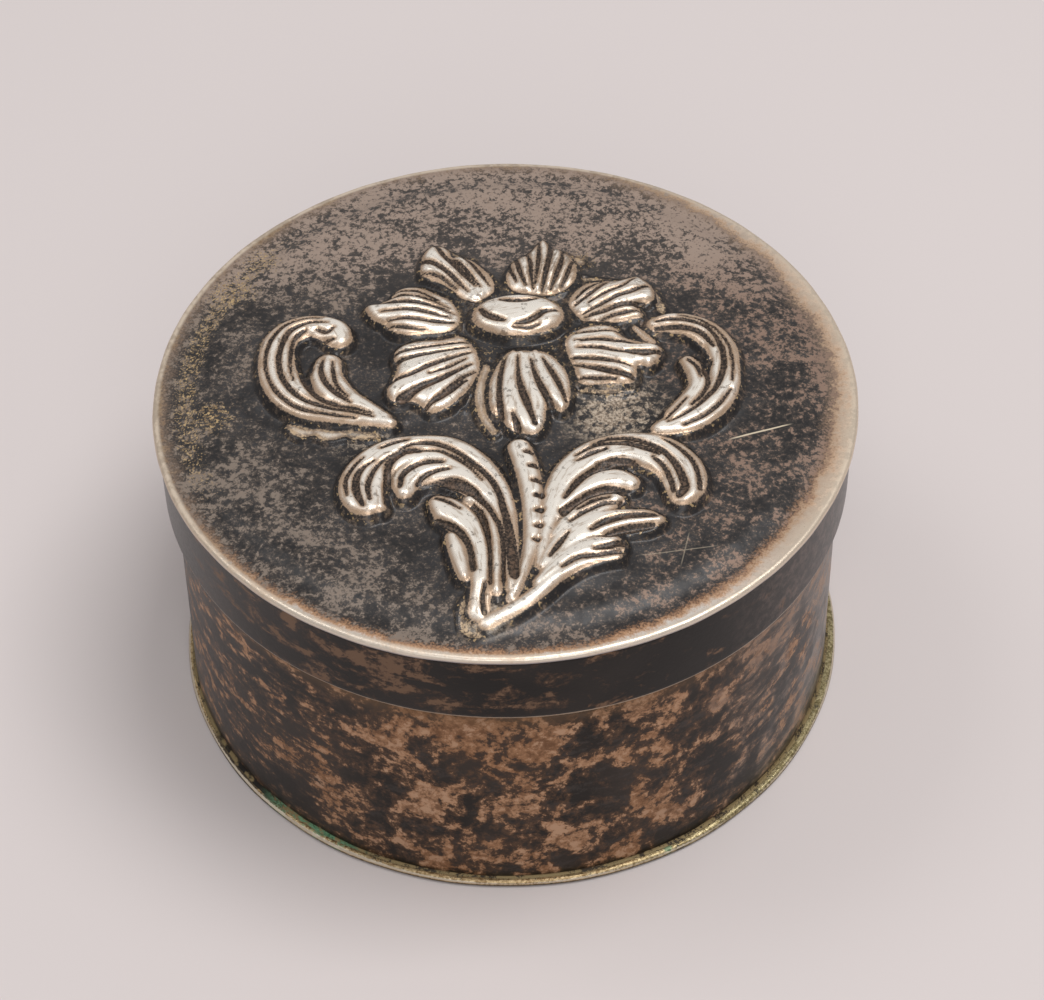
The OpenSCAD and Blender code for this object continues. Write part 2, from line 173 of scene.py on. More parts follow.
# The leaves, scrolls and stem: each a band of [x, y, half width] along its middle.
LEAVES = [
    # Left scroll and its tongue
    [(-11.9, 4.5, 1.0), (-12.4, 5.3, 1.2), (-13.8, 5.8, 1.1), (-15.2, 5.3, 1.15), (-16.1, 4.0, 1.2),
     (-16.2, 2.0, 1.3), (-15.8, 0.2, 1.4), (-14.9, -1.3, 1.45), (-13.4, -2.4, 1.3), (-11.6, -3.0, 1.05),
     (-9.8, -3.5, 0.8), (-8.0, -4.1, 0.45)],
    [(-12.5, 1.9, 0.9), (-12.6, 0.7, 1.1), (-12.2, -0.5, 1.2), (-11.3, -1.7, 1.1), (-9.9, -2.7, 0.85),
     (-8.4, -3.6, 0.5)],
    # Right scroll and its tongue
    [(10.9, 5.5, 0.65), (12.2, 5.6, 1.0), (13.6, 5.2, 1.1), (14.7, 4.2, 1.15), (15.5, 2.7, 1.1),
     (15.6, 0.9, 1.05), (15.4, -0.9, 1.1), (14.6, -2.5, 1.2), (13.3, -3.8, 1.2), (11.9, -4.6, 1.0),
     (10.7, -5.1, 0.6)],
    [(13.0, 1.6, 0.55), (13.6, 0.3, 0.75), (13.8, -1.0, 0.9), (13.0, -2.6, 1.0), (12.0, -3.8, 0.9)],
    # Left leaf: its arch, the outer fold, the curl under it
    [(0.35, -19.6, 0.4), (0.2, -17.5, 0.6), (0.0, -15.0, 0.8), (-0.3, -12.8, 1.0), (-0.9, -10.9, 1.2),
     (-2.1, -8.9, 1.45), (-3.9, -7.4, 1.7), (-5.8, -6.9, 1.5), (-7.6, -7.2, 1.55), (-9.0, -8.3, 1.6),
     (-9.8, -9.9, 1.6), (-9.8, -11.3, 1.35), (-9.4, -12.0, 0.85)],
    [(-9.0, -9.6, 0.6), (-8.85, -11.0, 0.65), (-8.6, -12.1, 0.5)],
    [(-1.6, -11.0, 0.9), (-2.8, -9.5, 1.25), (-4.4, -8.7, 1.35), (-5.9, -8.9, 1.3), (-6.8, -9.8, 1.05),
     (-6.9, -10.8, 0.6)],
    # Left leaf, low lobe, its inner rib and the drop beside it
    [(-4.6, -11.8, 0.65), (-3.8, -12.7, 1.15), (-2.8, -13.9, 1.15), (-2.1, -15.6, 0.95), (-1.75, -17.6, 0.75),
     (-1.7, -19.6, 0.7), (-1.85, -21.4, 0.75)],
    [(-2.4, -11.6, 0.5), (-1.4, -12.6, 0.55), (-0.9, -14.2, 0.5), (-0.7, -16.2, 0.45), (-0.7, -19.8, 0.4)],
    [(-3.6, -15.0, 0.5), (-3.3, -16.3, 0.6), (-3.0, -17.7, 0.55), (-2.8, -18.6, 0.4)],
    # Right leaf: its arch, curl and three lower lobes
    [(2.1, -17.6, 0.3), (2.55, -15.4, 0.5), (3.0, -13.0, 0.75), (3.75, -10.6, 1.1), (4.9, -8.7, 1.3),
     (6.6, -7.4, 1.45), (8.7, -6.95, 1.5), (10.6, -7.5, 1.65), (11.9, -8.9, 1.65), (12.25, -10.4, 1.45),
     (12.0, -11.4, 0.95)],
    [(3.5, -13.2, 0.5), (4.5, -11.6, 0.85), (5.9, -10.4, 1.05), (7.4, -9.9, 1.0), (8.4, -10.2, 0.75)],
    [(3.4, -15.0, 0.55), (4.6, -13.5, 0.85), (6.1, -12.4, 0.95), (7.4, -11.8, 0.65)],
    [(2.5, -17.7, 0.55), (3.8, -15.8, 0.95), (5.5, -14.3, 1.15), (7.4, -13.8, 1.1), (9.2, -13.6, 0.9),
     (10.3, -13.6, 0.4)],
    [(2.2, -19.2, 0.5), (3.8, -17.5, 0.9), (5.6, -16.3, 1.0), (7.1, -16.0, 0.85)],
    [(-1.4, -22.2, 0.5), (0.4, -21.2, 0.5), (2.0, -20.0, 0.55), (3.2, -18.8, 0.5), (4.6, -17.8, 0.45),
     (6.1, -17.2, 0.35), (7.5, -16.9, 0.25)],
    # Stem
    [(0.95, -6.7, 0.8), (1.35, -8.2, 0.85), (1.7, -10.4, 0.8), (1.85, -12.6, 0.75), (1.8, -14.6, 0.65),
     (1.5, -16.6, 0.5), (0.9, -18.8, 0.4), (0.3, -20.4, 0.4)],
]

# Lower forms: [path, height].
LOW_FORMS = [
    ([(-15.1, -3.9, 0.2), (-14.3, -4.5, 0.45), (-13.5, -4.6, 0.3)], 0.4),
    ([(-13.2, -4.5, 0.25), (-12.4, -4.9, 0.45), (-11.4, -4.8, 0.3)], 0.42),
    ([(-11.2, -4.7, 0.25), (-10.2, -4.9, 0.4), (-8.9, -5.0, 0.2)], 0.36),
    ([(-1.3, 1.6, 0.25), (-1.75, -0.6, 0.32), (-1.6, -3.0, 0.3), (-0.8, -4.8, 0.25)], 0.45),
    ([(9.4, 5.3, 0.2), (10.0, 4.5, 0.3), (10.6, 3.8, 0.25)], 0.6),
    ([(-2.9, -21.2, 0.25), (-2.8, -20.5, 0.2)], 0.4),
    ([(-2.7, -21.8, 0.4), (-2.2, -22.4, 0.7), (-1.3, -22.4, 0.45)], 0.4),
    ([(5.3, -0.75, 0.12), (7.2, -0.95, 0.16), (9.0, -0.6, 0.12)], 0.3),
    ([(-5.2, 13.9, 0.3), (-3.7, 13.5, 0.2), (-2.4, 13.0, 0.15)], 0.35),
    ([(4.2, 13.6, 0.2), (5.0, 12.9, 0.25), (5.6, 12.6, 0.35)], 0.4),
    ([(11.0, 9.2, 0.2), (11.2, 8.2, 0.25), (11.4, 7.4, 0.3)], 0.35),
    ([(5.9, 10.7, 0.25), (7.2, 10.5, 0.2), (8.4, 10.3, 0.2)], 0.35),
]

# Strokes chased into the leaves, scrolls and stem.
LEAF_STROKES = [
    # Left scroll
    [(-13.1, 6.45, 0.05), (-14.4, 6.4, 0.08), (-15.8, 5.6, 0.1), (-16.7, 4.0, 0.12), (-17.0, 2.0, 0.1),
     (-16.6, 0.0, 0.1), (-15.7, -1.6, 0.12), (-14.3, -2.8, 0.11), (-12.4, -3.35, 0.09), (-10.4, -3.75, 0.06)],
    [(-12.7, 5.9, 0.05), (-14.0, 5.9, 0.1), (-15.3, 5.1, 0.16), (-15.9, 3.5, 0.16), (-16.0, 1.6, 0.15),
     (-15.6, 0.0, 0.16), (-14.8, -1.3, 0.17), (-13.7, -2.2, 0.15), (-12.2, -2.85, 0.11), (-10.6, -3.2, 0.1),
     (-9.2, -3.7, 0.05)],
    [(-14.2, 5.2, 0.07), (-15.0, 4.3, 0.1), (-15.2, 3.0, 0.11), (-15.2, 1.4, 0.08), (-14.9, 0.0, 0.05)],
    [(-13.4, 5.2, 0.1), (-12.7, 4.9, 0.12), (-12.2, 5.4, 0.06)],
    [(-12.9, 4.1, 0.14), (-12.2, 4.2, 0.07)],
    [(-11.9, -2.6, 0.05), (-10.6, -2.8, 0.09), (-9.3, -3.3, 0.05)],
    [(-14.1, 1.4, 0.5), (-14.2, 0.4, 0.24), (-13.8, -0.7, 0.2), (-13.0, -1.8, 0.2), (-12.0, -2.4, 0.18),
     (-11.0, -2.8, 0.06)],
    [(-12.9, 2.1, 0.08), (-13.0, 0.9, 0.14), (-12.6, -0.3, 0.16), (-11.8, -1.4, 0.14), (-10.8, -2.3, 0.06)],
    [(-12.2, 1.9, 0.05), (-12.1, 0.6, 0.1), (-11.8, -0.6, 0.1), (-11.0, -1.7, 0.05)],
    # Right scroll
    [(10.9, 5.55, 0.08), (12.0, 5.75, 0.15), (13.4, 5.5, 0.14), (14.6, 4.7, 0.12), (15.3, 3.2, 0.15),
     (15.55, 1.5, 0.18), (15.3, 0.0, 0.18), (14.8, -1.3, 0.16), (14.1, -2.3, 0.13), (13.2, -3.3, 0.1),
     (12.2, -4.1, 0.08), (11.3, -4.6, 0.05)],
    [(15.9, -1.4, 0.05), (15.0, -2.9, 0.1), (13.8, -4.1, 0.1), (12.4, -4.9, 0.07)],
    [(12.7, -2.3, 0.05), (11.9, -3.4, 0.08), (11.1, -4.3, 0.06)],
    [(10.8, 4.95, 0.07), (12.0, 5.0, 0.14), (13.3, 4.75, 0.16), (14.2, 4.1, 0.16), (14.9, 2.9, 0.08)],
    [(12.6, 6.2, 0.05), (14.0, 5.75, 0.08), (15.3, 4.5, 0.09), (16.0, 2.8, 0.09), (16.15, 1.0, 0.08),
     (16.0, -0.6, 0.05)],
    [(14.3, 1.5, 0.4), (14.2, 0.4, 0.2), (14.3, -0.8, 0.13), (13.8, -2.0, 0.1), (13.0, -3.0, 0.05)],
    [(13.0, 1.6, 0.1), (13.6, 0.9, 0.14), (13.8, -0.2, 0.06)],
    # Left leaf
    [(-10.8, -11.2, 0.06), (-10.95, -9.8, 0.12), (-10.4, -8.5, 0.1), (-9.8, -7.7, 0.05)],
    [(-9.7, -12.1, 0.12), (-10.15, -11.0, 0.22), (-10.2, -9.7, 0.2), (-9.7, -8.6, 0.12), (-9.0, -8.0, 0.05)],
    [(-9.25, -11.6, 0.1), (-9.4, -10.4, 0.15), (-9.1, -9.2, 0.12), (-8.6, -8.3, 0.08), (-7.9, -7.6, 0.05)],
    [(-8.6, -6.8, 0.07), (-7.7, -6.3, 0.13), (-6.7, -6.0, 0.06)],
    [(-7.2, -6.9, 0.06), (-6.3, -6.45, 0.1), (-5.0, -6.45, 0.18), (-3.8, -6.95, 0.17), (-2.8, -7.8, 0.16),
     (-1.8, -8.9, 0.17), (-1.0, -10.0, 0.17), (-0.5, -11.2, 0.18), (-0.1, -13.0, 0.2), (0.25, -15.0, 0.28),
     (0.4, -17.0, 0.34), (0.5, -18.6, 0.3)],
    [(-5.8, -7.15, 0.05), (-4.6, -7.2, 0.08), (-3.3, -8.0, 0.1), (-2.3, -9.0, 0.07), (-1.6, -10.0, 0.05)],
    [(-8.1, -9.4, 0.2), (-8.0, -8.4, 0.22), (-7.4, -7.5, 0.25), (-6.5, -7.1, 0.24), (-5.9, -7.2, 0.1)],
    [(-7.95, -11.7, 0.3), (-8.1, -10.4, 0.25), (-8.1, -9.2, 0.18)],
    [(-7.2, -10.4, 0.12), (-7.1, -9.5, 0.18), (-6.5, -8.75, 0.2), (-5.6, -8.25, 0.19), (-4.3, -8.2, 0.1)],
    [(-6.1, -10.3, 0.06), (-5.6, -9.6, 0.13), (-4.8, -9.1, 0.12), (-3.8, -8.9, 0.06)],
    [(-5.6, -10.5, 0.3), (-4.6, -10.2, 0.32), (-3.4, -10.2, 0.34), (-2.4, -10.9, 0.3), (-1.7, -11.8, 0.2),
     (-1.0, -12.9, 0.15), (-0.4, -14.4, 0.14), (-0.2, -16.4, 0.12), (-0.2, -19.0, 0.12)],
    [(-2.2, -12.2, 0.14), (-1.7, -13.1, 0.2), (-1.3, -14.6, 0.16), (-1.1, -16.5, 0.1), (-1.1, -19.2, 0.1)],
    [(-4.7, -11.5, 0.16), (-4.0, -11.9, 0.13), (-3.1, -12.6, 0.05)],
    [(-4.9, -13.4, 0.14), (-3.9, -14.0, 0.22), (-3.0, -14.9, 0.2), (-2.45, -16.2, 0.16), (-2.15, -18.0, 0.16)],
    [(-1.4, -19.3, 0.08), (-1.6, -20.4, 0.12), (-1.5, -21.5, 0.14)],
    # Right leaf
    [(6.0, -6.7, 0.06), (7.2, -6.2, 0.14), (8.6, -6.25, 0.15), (9.9, -6.8, 0.14), (10.9, -7.6, 0.16),
     (11.6, -8.7, 0.2), (12.0, -9.8, 0.24), (12.2, -10.9, 0.25), (11.8, -11.6, 0.22)],
    [(4.8, -7.8, 0.05), (6.0, -6.95, 0.13), (7.2, -6.7, 0.13), (8.4, -6.75, 0.16), (9.6, -7.2, 0.16),
     (10.6, -7.8, 0.06)],
    [(4.9, -8.3, 0.06), (6.0, -7.6, 0.13), (7.0, -7.2, 0.06)],
    [(10.1, -8.0, 0.06), (10.8, -8.9, 0.13), (11.2, -10.0, 0.15), (11.4, -11.2, 0.12)],
    [(10.9, -6.2, 0.07), (12.0, -7.2, 0.14), (12.8, -8.4, 0.15), (13.15, -9.7, 0.14), (13.2, -11.0, 0.14)],
    [(6.2, -9.0, 0.22), (5.3, -9.8, 0.2), (4.6, -10.7, 0.19), (4.0, -11.7, 0.1)],
    [(6.5, -8.8, 0.32), (7.6, -8.3, 0.26), (8.7, -8.5, 0.26), (9.4, -9.4, 0.26), (9.5, -10.5, 0.3),
     (9.1, -11.2, 0.25)],
    [(8.3, -11.2, 0.26), (7.0, -10.9, 0.24), (5.8, -11.35, 0.22), (4.8, -12.1, 0.2), (3.9, -13.0, 0.3)],
    [(4.8, -12.8, 0.06), (6.0, -12.0, 0.14), (7.0, -11.7, 0.1)],
    [(4.3, -13.9, 0.07), (5.4, -13.0, 0.12), (6.5, -12.4, 0.13), (7.4, -12.2, 0.06)],
    [(7.9, -12.3, 0.3), (8.8, -12.5, 0.2)],
    [(5.7, -14.7, 0.08), (6.7, -14.0, 0.22), (8.1, -13.5, 0.26), (9.5, -13.4, 0.22), (10.2, -13.4, 0.1)],
    [(6.8, -15.0, 0.14), (8.1, -14.6, 0.22), (9.5, -14.3, 0.18), (10.0, -14.1, 0.08)],
    [(4.2, -14.9, 0.05), (3.6, -15.9, 0.14), (2.9, -17.0, 0.1)],
    [(5.9, -16.4, 0.1), (6.8, -16.2, 0.2), (7.6, -15.9, 0.26), (8.1, -15.6, 0.3)],
    [(3.7, -18.0, 0.06), (4.8, -17.2, 0.12), (6.2, -16.9, 0.1), (7.6, -16.6, 0.12)],
    # Stem
    [(1.35, -7.3, 0.12), (1.75, -7.25, 0.19)],
    [(1.65, -8.65, 0.12), (2.05, -8.6, 0.19)],
    [(1.85, -10.05, 0.12), (2.3, -10.0, 0.19)],
    [(2.0, -11.45, 0.12), (2.4, -11.4, 0.19)],
    [(2.05, -12.85, 0.12), (2.4, -12.8, 0.18)],
    [(2.0, -14.25, 0.11), (2.35, -14.2, 0.16)],
    [(1.85, -15.5, 0.09), (2.15, -15.45, 0.13)],
]

# The bud, its folds and the small grains at the petals' roots
BUD = {"middle": (1.0, 6.45), "half": (3.3, 2.1)}
BUD_FOLDS = [
    [(-1.75, 7.0, 0.1), (-1.35, 6.3, 0.2), (-0.7, 5.8, 0.2), (0.0, 5.5, 0.08)],
    [(-0.3, 7.75, 0.07), (0.6, 7.55, 0.17), (1.5, 7.6, 0.16), (2.4, 7.85, 0.06)],
    [(0.8, 5.2, 0.06), (1.7, 5.4, 0.16), (2.4, 5.9, 0.18), (2.9, 6.4, 0.15), (3.8, 6.65, 0.07)],
    [(0.6, 4.95, 0.05), (1.7, 4.85, 0.08), (2.5, 5.2, 0.05)],
]
GRAINS = [(-2.6, 8.4), (-2.2, 8.8), (-1.8, 8.7), (-2.3, 8.2), (-1.6, 9.2), (-3.6, 6.1), (-3.4, 4.9), (-2.2, 4.0),
          (-1.6, 3.4), (-1.1, 2.6), (-0.3, 3.0), (0.6, 3.1), (1.1, 2.9), (2.2, 3.1), (3.6, 3.6), (4.3, 3.9),
          (5.2, 3.9), (5.3, 6.4), (5.5, 7.2), (5.1, 8.0), (4.0, 9.4), (3.2, 9.3), (2.4, 9.6), (1.6, 9.6),
          (-8.2, 8.9), (-4.1, 8.7), (-2.9, -2.6), (-7.0, -3.4), (-6.8, -7.4), (6.9, -8.6), (0.2, -20.2)]
GRAIN_R = 0.2


def curve_through(points, closed=False, span=8):
    """A smooth line through the points. Between two points each column follows the cubic whose slope at a point is
    half the step between its neighbours."""
    knots = np.array(points, float)
    if closed:
        padded = np.vstack([knots[-1], knots, knots[0], knots[1]])
    else:
        padded = np.vstack([2 * knots[0] - knots[1], knots, 2 * knots[-1] - knots[-2]])
    before, start, end, after = padded[:-3, None], padded[1:-2, None], padded[2:-1, None], padded[3:, None]
    t = (np.arange(span) / span)[None, :, None]
    line = 0.5 * (2 * start + (end - before) * t + (2 * before - 5 * start + 4 * end - after) * t**2
                  + (3 * start - before - 3 * end + after) * t**3)
    line = line.reshape(-1, knots.shape[1])
    last = line[:1] if closed else knots[-1:]
    return np.vstack([line, last])


class ReliefMap:
    """The lid's relief on a fine square map: height above the field, depth inside the nearest form, and distance
    from the nearest chased stroke, all in millimetres."""

    def __init__(self):
        count = round(2 * MAP_REACH / MAP_STEP) + 1
        self.ticks = np.linspace(-MAP_REACH, MAP_REACH, count)
        self.height = np.zeros((count, count))
        self.inside = np.full((count, count), -6.0)
        self.stroke = np.full((count, count), 2.0)
        self.across = np.zeros((count, count))
        self.along = np.zeros((count, count))

    def window(self, line, margin):
        """The part of the map round a line, as slices and as x and y over it."""
        low = line[:, :2].min(0) - margin
        high = line[:, :2].max(0) + margin
        first = np.clip(np.searchsorted(self.ticks, low), 0, len(self.ticks) - 1)
        past = np.clip(np.searchsorted(self.ticks, high), 1, len(self.ticks))
        part = (slice(first[1], past[1]), slice(first[0], past[0]))
        x, y = np.meshgrid(self.ticks[part[1]], self.ticks[part[0]])
        return part, x, y

    def raise_form(self, part, depth, height, across, along):
        """Raises a form: the higher of it and what is there stays, with its own depth inside its outline and its own
        way across and along."""
        level, inside = self.height[part], self.inside[part]
        takes = (height > level) | ((height <= 0) & (level <= 0) & (depth > inside))
        self.inside[part] = np.where(takes, depth, inside)
        self.across[part] = np.where(takes, across, self.across[part])
        self.along[part] = np.where(takes, along, self.along[part])
        self.height[part] = np.maximum(level, height)


def nearest_on_band(x, y, line):
    """For each point: its distance to the edge of a band, which is the distance to the band's nearest straight piece
    less the half width there; how far it lies to the side of that piece; and how far along the band."""
    nearest = np.full(x.shape, 99.0)
    across = np.zeros(x.shape)
    along = np.zeros(x.shape)
    passed = 0.0
    for start, end in zip(line[:-1], line[1:]):
        step = end[:2] - start[:2]
        length = max(math.hypot(*step), 1e-6)
        east, north = x - start[0], y - start[1]
        share = np.clip((east * step[0] + north * step[1]) / length**2, 0, 1)
        away = np.hypot(east - share * step[0], north - share * step[1])
        edge = away - start[2] - share * (end[2] - start[2])
        closer = edge < nearest
        side = np.sign(step[0] * north - step[1] * east)
        nearest = np.where(closer, edge, nearest)
        across = np.where(closer, away * side, across)
        along = np.where(closer, passed + share * length, along)
        passed += length
    return nearest, across, along


def outline_depth(x, y, line):
    """How far each point lies inside a closed outline: the distance to its nearest straight piece, with the sign from
    how often a ray to the right crosses the outline."""
    nearest = np.full(x.shape, 99.0)
    crossed = np.zeros(x.shape, bool)
    for start, end in zip(line[:-1], line[1:]):
        step = end - start
        length = max(step @ step, 1e-12)
        along = np.clip(((x - start[0]) * step[0] + (y - start[1]) * step[1]) / length, 0, 1)
        nearest = np.minimum(nearest, np.hypot(x - start[0] - along * step[0], y - start[1] - along * step[1]))
        spans = (start[1] > y) != (end[1] > y)
        rise = step[1] if abs(step[1]) > 1e-12 else 1e-12
        crossed ^= spans & (x < start[0] + (y - start[1]) * step[0] / rise)
    return np.where(crossed, nearest, -nearest)


def dome(depth, width):
    """A quarter round: 0 at the edge, 1 from width inwards."""
    return np.sqrt(np.clip(1 - (1 - np.clip(depth / width, 0, 1)) ** 2, 0, 1))


def smooth(value, low, high):
    """0 below low, 1 above high, and a soft S between."""
    t = np.clip((value - low) / (high - low), 0, 1)
    return t * t * (3 - 2 * t)


def blurred(field, reach):
    """A field under a bell-shaped blur, as a product of its waves with the bell's."""
    waves = np.fft.fftfreq(field.shape[0], MAP_STEP)
    bell = np.exp(-2 * (np.pi * reach * waves) ** 2)
    return np.real(np.fft.ifft2(np.fft.fft2(field) * bell[:, None] * bell[None, :]))


def field_height(r):
    """Height of the plain field over the flat rim: full inside, a soft slope to nothing at the rim."""
    return FIELD_RISE * (1 - smooth(r, SLOPE_R - SLOPE_W, SLOPE_R))


def raise_petal(relief, petal):
    """A petal: slopes that start outside its outline, a crown in the middle, low at its root and full at two
    thirds."""
    line = curve_through(petal["outline"], closed=True, span=6)
    part, x, y = relief.window(line, 1.0)
    depth = outline_depth(x, y, line)
    root, tip = np.array(petal["axis"])
    axis = tip - root
    along = ((x - root[0]) * axis[0] + (y - root[1]) * axis[1]) / (axis @ axis)
    lift = 0.62 + 0.44 * smooth(along, -0.05, 0.65) - 0.1 * smooth(along, 0.8, 1.15)
    height = RELIEF_HEIGHT * lift * (0.68 * dome(depth + FOOT_SLOPE, 0.95) + 0.42 * dome(depth, 2.4))
    focus = root - 0.45 * axis
    distance = np.hypot(x - focus[0], y - focus[1])
    heading = np.arctan2(y - focus[1], x - focus[0]) - math.atan2(axis[1], axis[0])
    bearing = (heading + np.pi) % (2 * np.pi) - np.pi
    relief.raise_form(part, depth, height, bearing * 6.0 + root[0] * 9, distance)


def raise_band(relief, points, height, edge=0.9):
    """A leaf or scroll: a rounded band whose slopes start outside its edges."""
    line = curve_through(points, span=6)
    part, x, y = relief.window(line, 2.8)
    edge_away, across, along = nearest_on_band(x, y, line)
    full = height * (0.74 * dome(FOOT_SLOPE - edge_away, edge) + 0.32 * dome(-edge_away, edge * 1.5))
    relief.raise_form(part, -edge_away, full, across + line[0][0] * 7, along)


def raise_bud(relief):
    """The bud: an oval cushion with steep sides."""
    middle, half = np.array(BUD["middle"]), np.array(BUD["half"])
    corners = np.array([middle - half, middle + half])
    part, x, y = relief.window(corners, 1.0)
    depth = (1 - np.hypot((x - middle[0]) / half[0], (y - middle[1]) / half[1])) * half[1]
    height = BUD_HEIGHT * (0.6 * dome(depth + FOOT_SLOPE, 0.9) + 0.38 * dome(depth, 2.1))
    relief.raise_form(part, depth, height, y - 0.25 * x, x)


def chase(relief, points):
    """A stroke chased into the forms: recorded as a distance from its edge."""
    line = curve_through(points, span=6)
    line[:, 2] *= STROKE_WIDTH
    part, x, y = relief.window(line, 1.4)
    relief.stroke[part] = np.minimum(relief.stroke[part], nearest_on_band(x, y, line)[0])


def run_out(points, petal):
    """A petal's stroke, drawn on past the petal's tip and a little towards its root."""
    line = np.array(points)
    root, tip = np.array(petal["axis"])
    if (line[-1, :2] - line[0, :2]) @ (tip - root) < 0:
        line = line[::-1]
    ahead = line[-1, :2] - line[-2, :2]
    back = line[0, :2] - line[1, :2]
    past_tip = [*(line[-1, :2] + 0.45 * ahead / math.hypot(*ahead)), line[-1, 2] * 1.1]
    past_root = [*(line[0, :2] + 0.35 * back / math.hypot(*back)), line[0, 2] * 0.6]
    return np.vstack([past_root, line, past_tip])


def make_relief():
    """The whole ornament: forms raised, strokes chased, grains set and the field swelling up to the forms."""
    relief = ReliefMap()
    for path, height in LOW_FORMS:
        raise_band(relief, path, height, 0.4)
    for path in LEAVES:
        raise_band(relief, path, RELIEF_HEIGHT)
    for petal in PETALS:
        raise_petal(relief, petal)
    raise_bud(relief)
    for petal in PETALS:
        for stroke in petal["strokes"]:
            chase(relief, run_out(stroke, petal))
    for stroke in LEAF_STROKES + BUD_FOLDS:
        chase(relief, stroke)
    on_form = smooth(relief.inside, -0.25, 0.15)
    groove = 1 - smooth(relief.stroke, -0.12, 0.14)
    shoulder = np.exp(-np.clip(relief.stroke, 0, None) / 0.2)
    relief.height -= on_form * (0.2 * groove + 0.08 * shoulder)
    rng = np.random.default_rng(2)
    broken = blurred(rng.standard_normal(relief.height.shape), 0.9)
    broken = smooth(broken / broken.std(), -0.6, 1.2)
    relief.height *= 1 - 0.5 * smooth(-relief.ticks[:, None], 18.5, 22.0)
    trench = np.exp(-((relief.inside + 0.55) / 0.24) ** 2)
    relief.height -= 0.07 * trench * broken
    for centre in GRAINS:
        spot = np.array([centre])
        part, x, y = relief.window(spot, 0.5)
        away = np.hypot(x - centre[0], y - centre[1])
        relief.height[part] += 0.18 * dome(GRAIN_R - away, GRAIN_R)
    unrest = blurred(rng.standard_normal(relief.height.shape), 1.3)
    unrest = 0.05 * unrest / unrest.std()
    matting = blurred(rng.standard_normal(relief.height.shape), 0.16)
    matting = 0.006 * matting / matting.std()
    relief.near = blurred((relief.inside > 0).astype(float), 1.7)
    swell = 0.3 * smooth(blurred((relief.inside > 0).astype(float), 1.1), 0.02, 0.6)
    outside = 1 - smooth(relief.inside, -0.3, 0.1)
    relief.height += outside * (swell + unrest * smooth(relief.near, 0.01, 0.3)) + matting
    relief.height = blurred(relief.height, 0.045)
    relief.soft = blurred(relief.height, 0.35)
    relief.hollow = blurred(relief.height, 0.5) - relief.height
    return relief


def from_map(field, relief, x, y):
    """A map's value at each point, by straight lines between its four nearest squares."""
    last = len(relief.ticks) - 1.001
    u = np.clip((x + MAP_REACH) / MAP_STEP, 0, last)
    v = np.clip((y + MAP_REACH) / MAP_STEP, 0, last)
    i, j = u.astype(int), v.astype(int)
    a, b = u - i, v - j
    lower = field[j, i] * (1 - a) + field[j, i + 1] * a
    upper = field[j + 1, i] * (1 - a) + field[j + 1, i + 1] * a
    return lower * (1 - b) + upper * b


def disc_grid(cells, radius, middle_share=1.0):
    """A square grid of u and v from -1 to 1 drawn out to a disc: x is R u sqrt(1 - v squared / 2), and y the same
    with u and v changed over. middle_share under 1 draws the cells together in the middle."""
    u = np.linspace(-1, 1, cells + 1)
    u = u * (middle_share + (1 - middle_share) * u**2)
    u, v = np.meshgrid(u, u)
    x = radius * u * np.sqrt(1 - v**2 / 2)
    y = radius * v * np.sqrt(1 - u**2 / 2)
    number = np.arange((cells + 1) ** 2).reshape(cells + 1, cells + 1)
    quads = np.stack([number[:-1, :-1], number[:-1, 1:], number[1:, 1:], number[1:, :-1]], -1).reshape(-1, 4)
    rim = np.concatenate([number[0, :-1], number[:-1, -1], number[-1, :0:-1], number[:0:-1, 0]])
    return x.ravel(), y.ravel(), quads, rim


def rings_between(upper, lower):
    """Quads between two closed loops with as many points, facing outwards when upper lies over lower."""
    return np.stack([upper, lower, np.roll(lower, -1), np.roll(upper, -1)], -1)


def fans_between(fine, coarse):
    """Triangles between a fine closed loop and a coarse one under it, a fan round each coarse point."""
    share = len(fine) // len(coarse)
    spokes = np.arange(len(fine))
    near = coarse[spokes // share]
    fans = np.stack([fine, near, np.roll(fine, -1)], -1)
    ends = np.roll(fine, -1)[share - 1::share]
    closing = np.stack([ends, coarse, np.roll(coarse, -1)], -1)
    return np.vstack([fans, closing])


def make_mesh(name, points, quads, triangles=(), values=None, shade=True):
    """A mesh object from points in millimetres, with values as point attributes."""
    mesh = bpy.data.meshes.new(name)
    faces = [tuple(f) for f in np.asarray(quads).tolist()] + [tuple(f) for f in np.asarray(triangles).tolist()]
    mesh.from_pydata((np.asarray(points) * MM).tolist(), [], faces)
    for key, numbers in (values or {}).items():
        layer = mesh.attributes.new(key, "FLOAT", "POINT")
        layer.data.foreach_set("value", np.asarray(numbers, np.float32))
    if shade:
        mesh.polygons.foreach_set("use_smooth", np.ones(len(mesh.polygons), bool))
    mesh.update()
    piece = bpy.data.objects.new(name, mesh)
    bpy.context.scene.collection.objects.link(piece)
    return piece


def dress(piece, body, node, material):
    """Puts a piece in place of a node: its body and its finish."""
    piece.data.materials.append(material)
    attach(piece, body)
    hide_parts(node)


def rim_waver(turn):
    """How far the lid's cut edge strays inwards, in millimetres: hand shears leave long shallow waves."""
    wave = (np.sin(3 * turn + 0.7) + 0.7 * np.sin(7 * turn + 2.1) + 0.5 * np.sin(16 * turn)
            + 0.4 * np.sin(41 * turn + 1.0))
    return 0.022 * wave - 0.045


